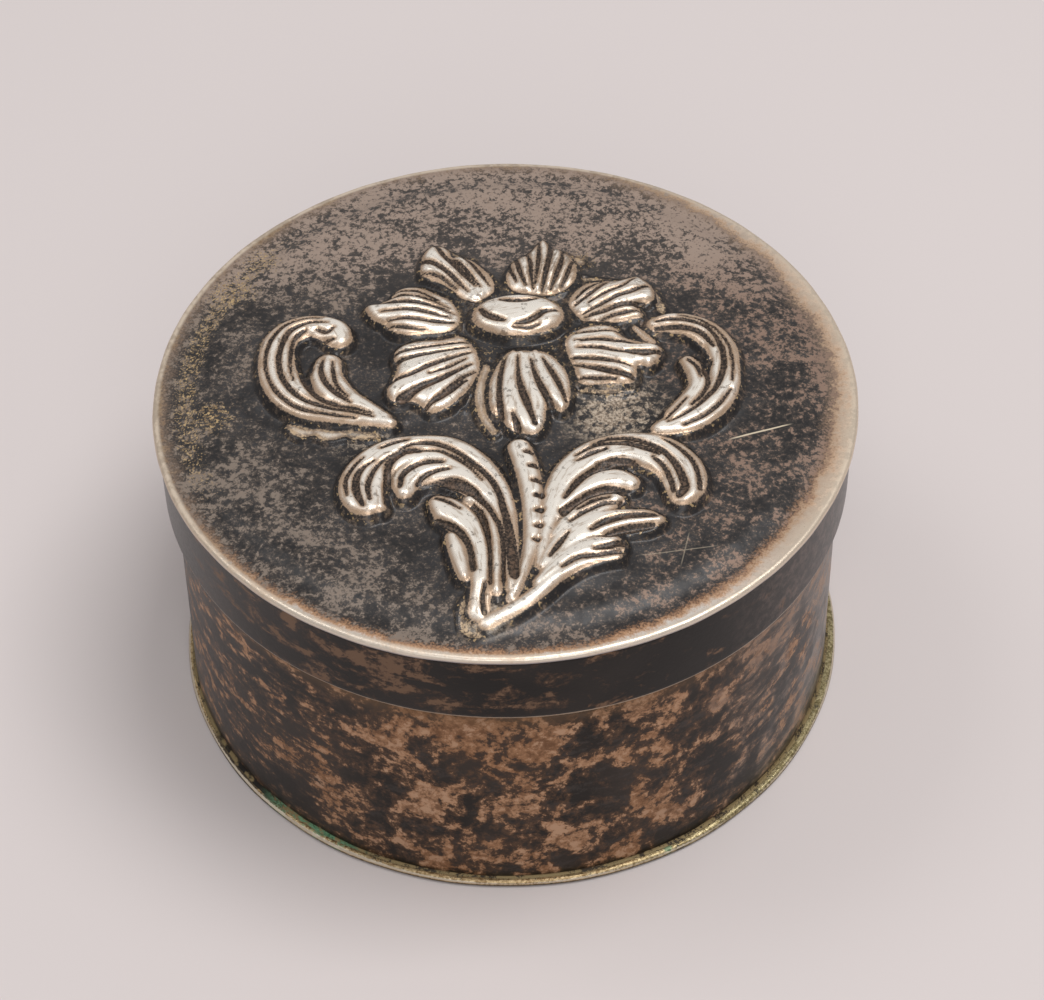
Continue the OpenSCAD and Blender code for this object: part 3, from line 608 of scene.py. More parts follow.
def lid_face(relief):
    """The sheet's face: the disc grid lifted by field and relief, a half-round edge, and a plain sheet that closes it
    underneath, inside the metal."""
    edge_r = PLATE_T / 2
    flat_r = LID_R - edge_r
    x, y, quads, rim = disc_grid(FACE_CELLS, flat_r, 0.86)
    r = np.hypot(x, y)
    keep = 1 - smooth(r, 23.6, 24.4)
    z = RIM_TOP_Z + field_height(r) + from_map(relief.height, relief, x, y) * keep
    strayed = 1 + smooth(r, 22.0, flat_r) * rim_waver(np.arctan2(y, x)) / flat_r
    x, y = x * strayed, y * strayed
    rows = [np.stack([x, y, z], -1)]
    loops = [rim]
    turn = np.arctan2(y[rim], x[rim])
    start = len(x)
    for slope in np.linspace(90, -90, 9)[1:]:
        out = flat_r + rim_waver(turn) + edge_r * math.cos(math.radians(slope))
        level = RIM_TOP_Z - edge_r + edge_r * math.sin(math.radians(slope))
        rows.append(np.stack([out * np.cos(turn), out * np.sin(turn), np.full(len(rim), level)], -1))
        loops.append(start + np.arange(len(rim)))
        start += len(rim)
    sides = [rings_between(a, b) for a, b in zip(loops[:-1], loops[1:])]
    coarse_x, coarse_y, coarse_quads, coarse_rim = disc_grid(FACE_CELLS // 4, flat_r - 0.4, 0.86)
    coarse_r = np.hypot(coarse_x, coarse_y)
    hidden = 1 - smooth(coarse_r, 22.6, 23.6)
    under = RIM_TOP_Z + field_height(coarse_r) - PLATE_T * np.where(coarse_r > SKIRT_R - SKIRT_T - 0.3, 1.0, 0.62)
    under = under + 0.8 * from_map(relief.soft, relief, coarse_x, coarse_y) * hidden
    rows.append(np.stack([coarse_x, coarse_y, under], -1))
    fans = fans_between(loops[-1], start + coarse_rim)
    points = np.vstack(rows)
    px, py = points[:, 0], points[:, 1]
    values = {
        "inside_form": np.clip(from_map(relief.inside, relief, px, py), -6, 1.5),
        "from_stroke": from_map(relief.stroke, relief, px, py),
        "hollow": from_map(relief.hollow, relief, px, py),
        "near_form": from_map(relief.near, relief, px, py),
        "across": from_map(relief.across, relief, px, py),
        "along": from_map(relief.along, relief, px, py),
        "rise": from_map(relief.height, relief, px, py),
        "behind": (np.arange(len(points)) >= start).astype(float),
    }
    all_quads = np.vstack([quads, *sides, start + coarse_quads[:, ::-1]])
    return make_mesh("lid_face", points, all_quads, fans, values)


def lid_back(relief):
    """The sheet's back: a thin closed sheet whose lower side follows the relief from behind, softened."""
    reach = SKIRT_R - SKIRT_T / 2
    x, y, quads, rim = disc_grid(BACK_CELLS, reach)
    r = np.hypot(x, y)
    keep = 1 - smooth(r, 22.6, 23.6)
    lower = RIM_TOP_Z + field_height(r) - PLATE_T + 0.8 * from_map(relief.soft, relief, x, y) * keep
    upper = lower + 0.08
    points = np.vstack([np.stack([x, y, upper], -1), np.stack([x, y, lower], -1)])
    sides = rings_between(rim, len(x) + rim)
    values = {"lift": np.tile(from_map(relief.soft, relief, x, y), 2)}
    return make_mesh("lid_back", points, np.vstack([quads, len(x) + quads[:, ::-1], sides]), (), values)


def turned(profile, waver=None, middle=(0.0, 0.0)):
    """A closed profile of (r, z) turned round the box's axis: x is r cos a, y is r sin a. waver(angle, r, z) moves
    each point a little, out and up."""
    profile = np.asarray(profile, float)
    angle = np.linspace(0, 2 * np.pi, ROUND_CELLS, endpoint=False)
    a, r = np.meshgrid(angle, profile[:, 0])
    z = np.repeat(profile[:, 1:2], ROUND_CELLS, 1)
    if waver:
        out, up = waver(a, r, z)
        r, z = r + out, z + up
    points = np.stack([middle[0] + r * np.cos(a), middle[1] + r * np.sin(a), z], -1).reshape(-1, 3)
    number = np.arange(len(points)).reshape(a.shape)
    ahead, over = np.roll(number, -1, 1), np.roll(number, -1, 0)
    quads = np.stack([number, ahead, np.roll(over, -1, 1), over], -1).reshape(-1, 4)
    return points, quads


def arc(middle, radius, start, end, steps):
    """Points on a round corner of a profile, from one angle to another in degrees."""
    a = np.radians(np.linspace(start, end, steps))
    return np.stack([middle[0] + radius * np.cos(a), middle[1] + radius * np.sin(a)], -1)


def line_of(start, end, steps):
    """Points on a straight stretch of a profile, without its last one."""
    return np.linspace(start, end, steps, endpoint=False)


def band_profile(outer_low, outer_high, thickness, low_z, high_z, steps):
    """A sheet band's section, anticlockwise as seen with r to the right: outside up, top edge, inside down, and a
    bottom edge, both edges half round."""
    half = thickness / 2
    outside = line_of((outer_low, low_z + half), (outer_high, high_z - half), steps)
    top = arc((outer_high - half, high_z - half), half, 0, 180, 7)[:-1]
    inside = line_of((outer_high - thickness, high_z - half), (outer_low - thickness, low_z + half), steps // 2)
    foot = arc((outer_low - half, low_z + half), half, 180, 360, 7)[:-1]
    return np.vstack([outside, top, inside, foot])


def hand_waver(seed, out_reach, up_reach):
    """How a hand-bent band strays: a few long waves round it, a different set on each height."""
    rng = np.random.default_rng(seed)
    phase = rng.uniform(0, 2 * np.pi, 12)

    def waver(a, r, z):
        out = (0.45 * np.sin(2 * a + phase[0]) + 0.3 * np.sin(3 * a + phase[1] + 0.12 * z)
               + 0.16 * np.sin(7 * a + phase[2] - 0.3 * z) + 0.1 * np.sin(13 * a + phase[3] + 0.7 * z))
        up = 0.5 * np.sin(2 * a + phase[4]) + 0.3 * np.sin(5 * a + phase[5]) + 0.2 * np.sin(11 * a + phase[6])
        return out_reach * out, up_reach * up

    return waver


def skirt_band():
    """The lid's band: a thin ring, slightly out of round, with its lower edge rounded by wear."""
    profile = band_profile(SKIRT_R, SKIRT_R, SKIRT_T, SKIRT_EDGE_Z, LID_UNDER_Z + 0.05, 24)
    points, quads = turned(profile, hand_waver(11, 0.05, 0.03))
    return make_mesh("skirt_band", points, quads)


def wall_band():
    """The base's band: a thin ring that leans in from its foot to its top."""
    profile = band_profile(WALL_FOOT_R, WALL_TOP_R, WALL_T, FOOT_T - 0.05, WALL_TOP_Z, 60)
    points, quads = turned(profile, hand_waver(5, 0.05, 0.0))
    return make_mesh("wall_band", points, quads)


def foot_disc():
    """The base plate: a disc with a worn round edge; its poles are closed by fans of triangles."""
    half = FOOT_T / 2
    top = line_of((0.6, FOOT_T), (WALL_FOOT_R - WALL_T - 0.4, FOOT_T), 20)[::-1]
    flange = line_of((FOOT_R - half, FOOT_T), (WALL_FOOT_R - WALL_T - 0.4, FOOT_T), 10)
    edge = arc((FOOT_R - half, half), half, -90, 90, 11)[:-1]
    below = line_of((0.6, 0), (FOOT_R - half, 0), 24)
    profile = np.vstack([below, edge, flange, top])

    def waver(a, r, z):
        worn = smooth(r, WALL_FOOT_R, FOOT_R)
        up = 0.03 * worn * (np.sin(3 * a + 1) + 0.6 * np.sin(8 * a) + 0.4 * np.sin(19 * a + 2))
        out = 0.05 * worn * (np.sin(2 * a + 0.6) + 0.5 * np.sin(6 * a + 2) + 0.4 * np.sin(17 * a))
        return out, up * (z > half)

    angle_count = ROUND_CELLS
    points, quads = turned(profile, waver, (FOOT_SHIFT, 0.0))
    quads = quads[:-angle_count]
    low_pole = len(points)
    points = np.vstack([points, [[FOOT_SHIFT, 0, 0], [FOOT_SHIFT, 0, FOOT_T]]])
    first = np.arange(angle_count)
    last = (len(profile) - 1) * angle_count + first
    fans = np.vstack([
        np.stack([np.full(angle_count, low_pole), np.roll(first, -1), first], -1),
        np.stack([np.full(angle_count, low_pole + 1), last, np.roll(last, -1)], -1),
    ])
    return make_mesh("foot_disc", points, quads, fans)


def solder_run(name, seed, corner_r, corner_z, leg_out, leg_up, outwards, upwards):
    """A run of solder in a corner: a quarter-round fillet whose legs come and go along the ring."""
    steps = 8
    a = np.radians(np.linspace(0, 90, steps))
    round_r = 1 - np.sin(a)
    round_z = 1 - np.cos(a)
    profile = [(corner_r - outwards * 0.12, corner_z - upwards * 0.08)]
    profile += [(corner_r + outwards * leg_out * p, corner_z + upwards * leg_up * q)
                for p, q in zip(round_r, round_z)]
    profile += [(corner_r - outwards * 0.12, corner_z + upwards * leg_up)]
    profile = np.array(profile)
    if outwards * upwards < 0:
        profile = profile[::-1]
    rng = np.random.default_rng(seed)
    phase = rng.uniform(0, 2 * np.pi, 6)

    def waver(b, r, z):
        size = 0.25 * (np.sin(5 * b + phase[0]) + 0.7 * np.sin(13 * b + phase[1]) + 0.6 * np.sin(31 * b + phase[2])
                       + 0.5 * np.sin(67 * b + phase[3]))
        return (r - corner_r) * size * 0.5, (z - corner_z) * size * 0.6

    points, quads = turned(profile, waver)
    return make_mesh(name, points, quads)


def seam_bead(name, seed, radii, low_z, high_z, thickness):
    """The solder that closes a band at the back: a flat bead as deep as the sheet and a hair proud of both sides. Its
    section is a rounded box, its width wanders, and it follows the band up."""
    rng = np.random.default_rng(seed)
    phase = rng.uniform(0, 2 * np.pi, 4)
    levels, around = 60, 16
    t = np.linspace(0, 1, levels)[:, None]
    a = np.linspace(0, 2 * np.pi, around, endpoint=False)[None, :]
    z = low_z + (high_z - low_z) * t
    middle = radii[0] + (radii[1] - radii[0]) * t - thickness / 2
    wide = 0.2 + 0.04 * np.sin(9 * z / 3 + phase[0]) + 0.03 * np.sin(z * 5 + phase[1])
    deep = thickness / 2 + 0.03 + 0.01 * np.sin(z * 7 + phase[2])
    square = (np.abs(np.cos(a)) ** 4 + np.abs(np.sin(a)) ** 4) ** -0.25
    x = wide * square * np.cos(a)
    y = middle + deep * square * np.sin(a)
    z = np.repeat(z, around, 1)
    points = np.stack([x, y, z], -1).reshape(-1, 3)
    number = np.arange(levels * around).reshape(levels, around)
    ahead = np.roll(number, -1, 1)
    quads = np.stack([number[:-1], ahead[:-1], ahead[1:], number[1:]], -1).reshape(-1, 4)
    caps = np.array([[len(points), len(points) + 1]])
    points = np.vstack([points, [[0, middle[0, 0], low_z], [0, middle[-1, 0], high_z]]])
    low_cap = np.stack([np.full(around, caps[0, 0]), ahead[0], number[0]], -1)
    high_cap = np.stack([np.full(around, caps[0, 1]), number[-1], ahead[-1]], -1)
    return make_mesh(name, points, quads, np.vstack([low_cap, high_cap]))


def tone(red, green, blue):
    """A colour as it looks on a screen, from 0 to 255, as the linear colour that a shader takes."""
    def linear(value):
        share = value / 255
        return share / 12.92 if share <= 0.04045 else ((share + 0.055) / 1.055) ** 2.4
    return (linear(red), linear(green), linear(blue), 1.0)


class Wire:
    """A socket in a finish. Sums and products written on it become Math nodes."""

    def __init__(self, finish, socket):
        self.finish = finish
        self.socket = socket

    def maths(self, operation, *values):
        return self.finish.node("ShaderNodeMath", {"operation": operation}, *values)

    def __add__(self, other):
        return self.maths("ADD", self, other)

    def __sub__(self, other):
        return self.maths("SUBTRACT", self, other)

    def __rsub__(self, other):
        return self.maths("SUBTRACT", other, self)

    def __mul__(self, other):
        return self.maths("MULTIPLY", self, other)

    def __truediv__(self, other):
        return self.maths("DIVIDE", self, other)

    def __pow__(self, other):
        return self.maths("POWER", self, other)

    __radd__ = __add__
    __rmul__ = __mul__


class Finish:
    """A material in the making. Its place is in millimetres, from the object's own coordinates."""

    def __init__(self, name):
        self.material = bpy.data.materials.new(name)
        self.material.use_nodes = True
        self.tree = self.material.node_tree
        self.shader = self.tree.nodes["Principled BSDF"]
        coordinates = self.node("ShaderNodeTexCoord", out="Object")
        self.place = self.node("ShaderNodeVectorMath", {"operation": "SCALE"}, coordinates, Scale=1 / MM)
        parts = self.node("ShaderNodeSeparateXYZ", {}, self.place).socket.node
        self.x, self.y, self.z = (Wire(self, socket) for socket in parts.outputs)
        self.r = (self.x * self.x + self.y * self.y) ** 0.5
        self.turn = self.x.maths("ARCTAN2", self.y, self.x)

    def node(self, kind, settings=None, *values, out=0, **named):
        """Adds a node: its settings first, then values or wires for its sockets, in order or by name."""
        node = self.tree.nodes.new(kind)
        for key, value in (settings or {}).items():
            setattr(node, key, value)
        pairs = list(enumerate(values)) + [(key.replace("_", " "), value) for key, value in named.items()]
        for key, value in pairs:
            if isinstance(value, Wire):
                self.tree.links.new(value.socket, node.inputs[key])
            elif value is not None:
                node.inputs[key].default_value = value
        return Wire(self, node.outputs[out])

    def value(self, name):
        """A number that the mesh carries at each point."""
        return self.node("ShaderNodeAttribute", {"attribute_name": name}, out="Fac")

    def step(self, value, low, high):
        """0 below low, 1 above high, and a soft S between."""
        return self.node("ShaderNodeMapRange", {"interpolation_type": "SMOOTHSTEP"}, value, low, high)

    def noise(self, size, shift=0.0, detail=3.0, rough=0.55, warp=0.0, place=None):
        """Cloudy noise with forms of about size millimetres, from its own place in the pattern."""
        moved = self.node("ShaderNodeVectorMath", {"operation": "ADD"}, place or self.place, (shift, shift, shift))
        return self.node("ShaderNodeTexNoise", {}, Vector=moved, Scale=1 / size, Detail=detail, Roughness=rough,
                         Distortion=warp)

    def mix(self, share, low, high):
        """A colour between two colours."""
        return self.node("ShaderNodeMix", {"data_type": "RGBA"}, share, None, None, None, None, None, low, high,
                         out=2)

    def more(self, one, other):
        return one.maths("MAXIMUM", one, other)

    def less(self, one, other):
        return one.maths("MINIMUM", one, other)

    def bump(self, height, depth, below=None):
        """A bump of depth millimetres for a height from 0 to 1, on top of another one."""
        return self.node("ShaderNodeBump", {}, Height=height, Distance=depth * MM, Normal=below, out="Normal")

    def near_point(self, x, y, reach):
        """1 at a point of the lid, fading to 0 at reach millimetres from it."""
        away = ((self.x - x) ** 2.0 + (self.y - y) ** 2.0) ** 0.5
        return 1 - self.step(away, reach * 0.3, reach)

    def scratch(self, start, end, width):
        """1 along a thin straight scratch on the lid."""
        step = (end[0] - start[0], end[1] - start[1])
        length = math.hypot(*step)
        east, north = step[0] / length, step[1] / length
        along = (self.x - start[0]) * east + (self.y - start[1]) * north
        across = self.node("ShaderNodeMath", {"operation": "ABSOLUTE"},
                           (self.y - start[1]) * east - (self.x - start[0]) * north)
        ends = self.step(along, 0.0, length * 0.2) * (1 - self.step(along, length * 0.8, length))
        return (1 - self.step(across, width * 0.3, width)) * ends

    def near_turn(self, degrees, reach, soft):
        """1 near a direction round the box, seen from above, fading to 0 past reach degrees."""
        middle = math.radians(degrees)
        cosine = (self.x * math.cos(middle) + self.y * math.sin(middle)) / self.r
        return self.step(cosine, math.cos(math.radians(min(reach + soft, 180))),
                         math.cos(math.radians(max(reach - soft, 0))))

    def wear(self, colour, roughness, metal, normal, **fixed):
        """Feeds the shader: links for what varies, plain values for what doesn't."""
        for key, value in {"Base Color": colour, "Roughness": roughness, "Metallic": metal,
                           "Normal": normal}.items():
            if isinstance(value, Wire):
                self.tree.links.new(value.socket, self.shader.inputs[key])
            elif value is not None:
                self.shader.inputs[key].default_value = value
        for key, value in fixed.items():
            self.shader.inputs[key.replace("_", " ")].default_value = value
        return self.material


def lid_finish():
    """Blackened field with taupe specks, cream relief with black grooves, and a bright rim that is partly wear and
    partly painted highlight.
    """
    f = Finish("tarnished_relief_sheet")
    inside, stroke = f.value("inside_form"), f.value("from_stroke")
    hollow, near = f.value("hollow"), f.value("near_form")
    fine = f.noise(0.17, 3.0, 3, 0.65)
    grain = f.noise(0.55, 11.0, 8, 0.72, 0.2)
    patch = f.noise(3.4, 23.0, 6, 0.62, 0.4)
    broad = f.noise(10.0, 37.0, 2, 0.5)
    dots = f.noise(0.3, 19.0, 2, 0.5)
    wobble = (fine - 0.5) * 0.35 + (grain - 0.5) * 0.2

    # Field: blue-black with a brown haze and taupe specks, thick at the top and right, thin round the relief;
    # lightened at the top by painted reflection
    # top: painted reflection, the far part of the field lightened as if it mirrored bright sky; the same mask also
    # thickens the taupe specks there
    top = f.step(f.y + (broad - 0.5) * 8, 6.0, 15.0)
    shade = f.mix(f.step(patch, 0.35, 0.7), tone(44, 42, 42), tone(68, 67, 68))
    shade = f.mix(top * 0.7, shade, tone(74, 70, 68))
    taupe = f.mix(f.step(f.x + (broad - 0.5) * 30, -4.0, 12.0), tone(140, 126, 114), tone(150, 124, 108))
    taupe = f.mix(top * 0.9, taupe, tone(172, 152, 138))
    right = f.step(f.x, 4.0, 15.0)
    outer = f.step(f.r, 15.0, 23.0)
    level = grain + (patch - 0.5) * 0.5 + (broad - 0.5) * 0.2 + (fine - 0.5) * 0.3 + top * 0.052 + outer * 0.012
    level = level - near * 0.2 + right * top * 0.012 + right * 0.036 - f.step(0.0 - f.y, 10.0, 16.0) * right * 0.06
    field = f.mix(f.step(level, 0.4, 0.53) * 0.6, shade, tone(86, 77, 70))
    specks = f.step(level, 0.51, 0.59)
    field = f.mix(specks * 0.85, field, taupe)
    field = f.mix(f.step(dots, 0.56, 0.66) * 0.65, field, tone(58, 54, 52))
    dust = f.step(fine + (patch - 0.5) * 0.4, 0.58, 0.68)
    field = f.mix(dust * 0.35, field, tone(146, 126, 110))

    # Gold flecks in clusters, in a ring at the left and between the forms
    clusters = f.more(f.near_point(-20.6, -2.6, 2.4), f.near_point(-20.0, 10.5, 3.0))
    clusters = f.more(clusters, f.more(f.near_point(5.6, 12.9, 1.8), f.near_point(-18.0, 13.8, 2.5) * 0.9))
    ring = f.step(f.r, 21.2, 22.2) * (1 - f.step(f.r, 23.0, 24.0)) * f.near_turn(170, 32, 14)
    clusters = f.more(clusters, ring * 0.9)
    between = f.step(near, 0.3, 0.7) * (1 - f.step(f.r, 7.0, 13.0))
    flecks = f.step(fine + (grain - 0.5) * 0.4 + clusters * 0.12 + between * 0.06, 0.63, 0.7)
    gold = f.mix(f.step(dots, 0.4, 0.6), tone(140, 116, 84), tone(196, 168, 124))
    field = f.mix(flecks * f.more(clusters, between), field, gold)
    worn = f.near_point(8.0, -2.9, 5.0) * f.step(grain + (patch - 0.5) * 0.5, 0.45, 0.53)
    worn = f.more(worn, f.near_point(-9.5, -5.4, 3.0) * f.step(grain, 0.5, 0.56) * 0.7)
    worn = f.more(worn, f.near_point(-1.2, -21.7, 1.9) * f.step(grain, 0.4, 0.5))
    worn_tone = f.mix(f.step(fine, 0.4, 0.6), tone(128, 112, 96), tone(200, 184, 164))

    # Rim: worn bright, wide and ragged on the right; a smooth white line at the front, partly wear and partly a
    # painted highlight; narrow and brown on the left
    to_right = f.near_turn(0, 46, 32)
    to_front = f.near_turn(-80, 55, 30)
    ragged = ((patch - 0.5) * 2.6 + (grain - 0.5) * 2.6) * (1 - to_front * 0.4)
    ragged = f.r - 24.5 + to_right * 1.1 + to_front * 0.2 - ragged + (fine - 0.5) * 0.9
    fringe = f.step((ragged + (fine - 0.5) * 0.8) * (1 + to_front * 0.7), -1.1, 0.1)
    rim = f.step(ragged + (dots - 0.5) * 0.8, -0.3, 0.4)
    fringe_tone = f.mix(to_front, tone(132, 112, 96), tone(156, 116, 86))
    field = f.mix(fringe * 0.75, field, fringe_tone)
    # pale: the white at the front is partly a painted highlight, the cream on the right is wear
    pale = f.mix(f.step(ragged, 0.0, 0.7), tone(214, 168, 130), tone(248, 243, 236))
    pale = f.mix(to_right * 0.85, pale, f.mix(f.step(ragged, 0.2, 1.6), tone(208, 178, 150), tone(232, 210, 184)))
    browned = f.mix(f.step(grain, 0.35, 0.65), tone(152, 126, 102), tone(206, 182, 152))
    rim_tone = f.mix(f.more(to_right, to_front), browned, pale)
    rim_tone = f.mix(f.step(fine, 0.58, 0.66) * 0.4, rim_tone, tone(170, 142, 114))
    field = f.mix(rim, field, rim_tone)
    # a light band round the rounded edge: partly wear, partly a painted highlight
    field = f.mix(f.step(f.r, 24.35, 24.65) * 0.75, field, tone(222, 206, 186))
    # painted shade: the lower side of the lid's rounded edge is greyed, as if in shade below the rim
    shaded_edge_side = 1 - f.step(f.z, RIM_TOP_Z - 0.45, RIM_TOP_Z - 0.2)
    field = f.mix(shaded_edge_side * f.step(f.r, 24.5, 24.8), field, tone(150, 144, 148))

    # Relief: cream metal, brown towards its edges, dark in grooves and deep corners, mottled where it is low
    rub = f.noise(1.4, 51.0, 3, 0.6)
    high = f.step(inside + (rub - 0.5) * 0.5, 0.05, 0.5) * f.step(stroke + (rub - 0.5) * 0.3, 0.02, 0.3)
    flow = f.node("ShaderNodeCombineXYZ", {}, f.value("across"), f.value("along") * 0.16, 0.0)
    streaks = f.noise(0.22, 5.0, 3, 0.6, 0.2, flow)
    cream = f.mix(high, tone(194, 166, 140), tone(255, 247, 235))
    cream = f.mix(f.step(streaks, 0.52, 0.66) * 0.55, cream, tone(172, 146, 120))
    wobble = wobble + (streaks - 0.5) * 0.35
    in_stroke = 1 - f.step(stroke + wobble * 0.5, 0.0, 0.08)
    in_corner = f.step(hollow + wobble * 0.4, 0.1, 0.2)
    dirt = f.more(in_stroke, in_corner)
    dirt_tone = f.mix(f.step(fine, 0.42, 0.66), tone(40, 34, 30), tone(104, 86, 72))
    wide = 1 - f.step(stroke, -0.22, -0.1)
    dirt_tone = f.mix(wide * f.step(grain, 0.5, 0.58) * 0.8, dirt_tone, tone(112, 90, 74))
    spots = f.step(grain + (rub - 0.5) * 0.35, 0.58, 0.64)
    cream = f.mix(spots * 0.6, cream, tone(84, 68, 54))
    grimy = f.more(f.near_point(3.2, 11.6, 4.0), f.near_point(8.4, 8.6, 4.0) * 0.6)
    grimy = f.more(grimy, f.near_point(-3.6, 10.6, 3.0) * 0.7)
    grimy = grimy * f.step(grain + (streaks - 0.5) * 0.5, 0.42, 0.6)
    cream = f.mix(grimy * 0.6, cream, tone(122, 102, 82))
    relief_tone = f.mix(dirt, cream, dirt_tone)
    low = 1 - f.step(f.value("rise"), 0.3, 0.52)
    mottled = f.mix(f.step(grain + (fine - 0.5) * 0.5, 0.44, 0.6), tone(62, 54, 48), tone(196, 170, 136))
    relief_tone = f.mix(low * 0.85, relief_tone, mottled)
    on_form = f.step(inside + wobble * 0.6, -0.06, 0.05)
    field = f.mix(worn * 0.85, field, worn_tone)
    slope = f.step(inside + wobble * 1.6, -0.75, -0.2) * (1 - on_form) * (1 - worn * 0.6)
    field = f.mix(slope * 0.75, field, f.mix(f.step(grain, 0.5, 0.62), tone(34, 31, 31), tone(92, 78, 66)))
    grit = f.step(dots + (patch - 0.5) * 0.3, 0.62, 0.68) * f.step(inside, -0.5, -0.15) * (1 - on_form)
    field = f.mix(grit * 0.8, field, tone(184, 156, 116))
    colour = f.mix(on_form, field, relief_tone)
    line = f.scratch((15.3, -5.5), (20.2, -4.0), 0.09)
    line = f.more(line, f.scratch((8.6, -16.3), (14.6, -15.4), 0.06) * 0.3)
    line = f.more(line, f.scratch((11.6, -17.4), (12.4, -14.0), 0.06) * 0.25)
    colour = f.mix(line, colour, tone(222, 206, 180))
    behind = f.value("behind")
    colour = f.mix(behind, colour, f.mix(f.step(patch, 0.35, 0.7), tone(150, 142, 132), tone(112, 96, 80)))

    bright = on_form * (1 - dirt) * (1 - low * 0.6) * (1 - behind)
    metal = f.more(f.more(bright * 0.45, rim * 0.7), 0.2)
    rough = 0.37 + specks * 0.14 - bright * 0.1 + (fine - 0.5) * 0.12 - slope * 0.08
    pits = f.bump(grain * 0.6 + fine * 0.4, 0.016)
    return f.wear(colour, rough, metal, pits, Specular_IOR_Level=0.36)


def skirt_finish():
    """Dark brown-black band, semi-gloss, with brown patches low at the front left, painted reflection at the right,
    and a thin bright lower edge.
    """
    f = Finish("tarnished_skirt")
    fine = f.noise(0.3, 5.0, 3, 0.65)
    grain = f.noise(0.7, 13.0, 5, 0.7)
    drawn = f.node("ShaderNodeVectorMath", {"operation": "MULTIPLY"}, f.place, (1.0, 1.0, 1.8))
    patch = f.noise(3.0, 61.0, 5, 0.65, 0.5, drawn)
    broad = f.noise(9.0, 71.0, 2, 0.5)
    shade = f.mix(f.step(broad, 0.35, 0.65), tone(22, 18, 16), tone(38, 32, 29))
    front_left = f.near_turn(-112, 26, 16)
    level = patch + front_left * 0.11 + (grain - 0.5) * 0.35 + (fine - 0.5) * 0.12
    brown = f.step(level, 0.56, 0.68)
    colour = f.mix(brown * 0.7, shade, tone(76, 54, 38))
    bare = f.step(level, 0.64, 0.71)
    colour = f.mix(bare * 0.7, colour, tone(126, 98, 76))
    # painted reflection: light patches on the right side of the band
    right_reflection = f.near_turn(-20, 22, 14)
    colour = f.mix(right_reflection * f.step(grain, 0.4, 0.7) * 0.5, colour, tone(128, 108, 100))
    edge = 1 - f.step(f.z + (fine - 0.5) * 0.08, SKIRT_EDGE_Z + 0.19, SKIRT_EDGE_Z + 0.25)
    colour = f.mix(edge * 0.85, colour, tone(184, 164, 142))
    rough = 0.32 + bare * 0.15 + (fine - 0.5) * 0.15
    return f.wear(colour, rough, f.more(edge * 0.8, 0.4), f.bump(fine * 0.5 + grain * 0.5, 0.012),
                  Specular_IOR_Level=0.35)


def wall_finish():
    """Charcoal band with ragged copper-tan patches, broad at the front and drawn out round the sides, a painted grey
    sheen at the right, darker at its foot.
    """
    f = Finish("tarnished_wall")
    fine = f.noise(0.26, 7.0, 3, 0.7)
    grain = f.noise(0.9, 43.0, 6, 0.72, 0.2)
    drawn = f.node("ShaderNodeVectorMath", {"operation": "MULTIPLY"}, f.place, (1.0, 1.0, 2.6))
    front = f.near_turn(-84, 26, 22)
    patch = f.noise(3.4, 83.0, 6, 0.62, 0.5)
    streak = f.noise(3.0, 89.0, 6, 0.66, 0.3, drawn)
    forms = patch * front + streak * (1 - front)
    broad = f.noise(9.0, 97.0, 2, 0.5)
    shade = f.mix(f.step(broad + (grain - 0.5) * 0.4, 0.35, 0.65), tone(28, 22, 18), tone(52, 43, 37))
    height = f.z + (broad - 0.5) * 8
    middle = f.step(height, 1.5, 6.0)
    level = forms + front * 0.035 + (broad - 0.5) * 0.22 + (grain - 0.5) * 0.45 + (fine - 0.5) * 0.12
    level = level - (1 - middle) * 0.03 - 0.012 + f.near_turn(-40, 24, 18) * 0.012
    brown = f.step(level, 0.43, 0.54)
    bare = f.step(level, 0.525, 0.585)
    rust = f.mix(f.step(grain, 0.4, 0.6), tone(70, 50, 36), tone(98, 70, 48))
    grey_sheen = f.step(streak + (fine - 0.5) * 0.3, 0.5, 0.62)
    shade = f.mix(grey_sheen * 0.5, shade, tone(66, 60, 57))
    colour = f.mix(brown * 0.75, shade, rust)
    tan = f.mix(f.step(grain + (fine - 0.5) * 0.5, 0.38, 0.62), tone(124, 90, 64), tone(186, 144, 110))
    amber = f.step(broad + (patch - 0.5) * 0.8, 0.5, 0.68)
    tan = f.mix(amber * 0.6, tan, f.mix(f.step(grain, 0.4, 0.62), tone(112, 74, 44), tone(160, 116, 80)))
    tan = f.mix(f.step(grain + (patch - 0.5) * 0.5, 0.58, 0.66) * 0.6, tan, tone(198, 164, 136))
    colour = f.mix(bare * 0.9, colour, tan)
    under_skirt = f.step(f.z, 16.6, 18.6) * (1 - f.step(f.z, 19.0, 19.4))
    colour = f.mix(under_skirt * 0.45, colour, tone(112, 84, 54))
    # grey: a painted sheen, lighter grey patches towards the right side of the band
    grey = f.near_turn(-24, 24, 22) + (patch - 0.5) * 2.6 + (broad - 0.5) * 1.6 + (grain - 0.5) * 1.0
    grey = f.step(grey, 0.45, 1.15)
    colour = f.mix(grey * f.step(streak, 0.38, 0.62) * 0.6, colour, tone(150, 130, 116))
    # darker towards the foot of the band, where it meets the plate
    dark_towards_foot = 1 - f.step(f.z + (grain - 0.5) * 2.0, 0.7, 1.3)
    colour = f.mix(dark_towards_foot * 0.8, colour, tone(24, 20, 17))
    rough = 0.38 + bare * 0.12 + (fine - 0.5) * 0.15 - grey * 0.08
    return f.wear(colour, rough, 0.45, f.bump(fine * 0.4 + bare * 0.6, 0.008), Specular_IOR_Level=0.35)


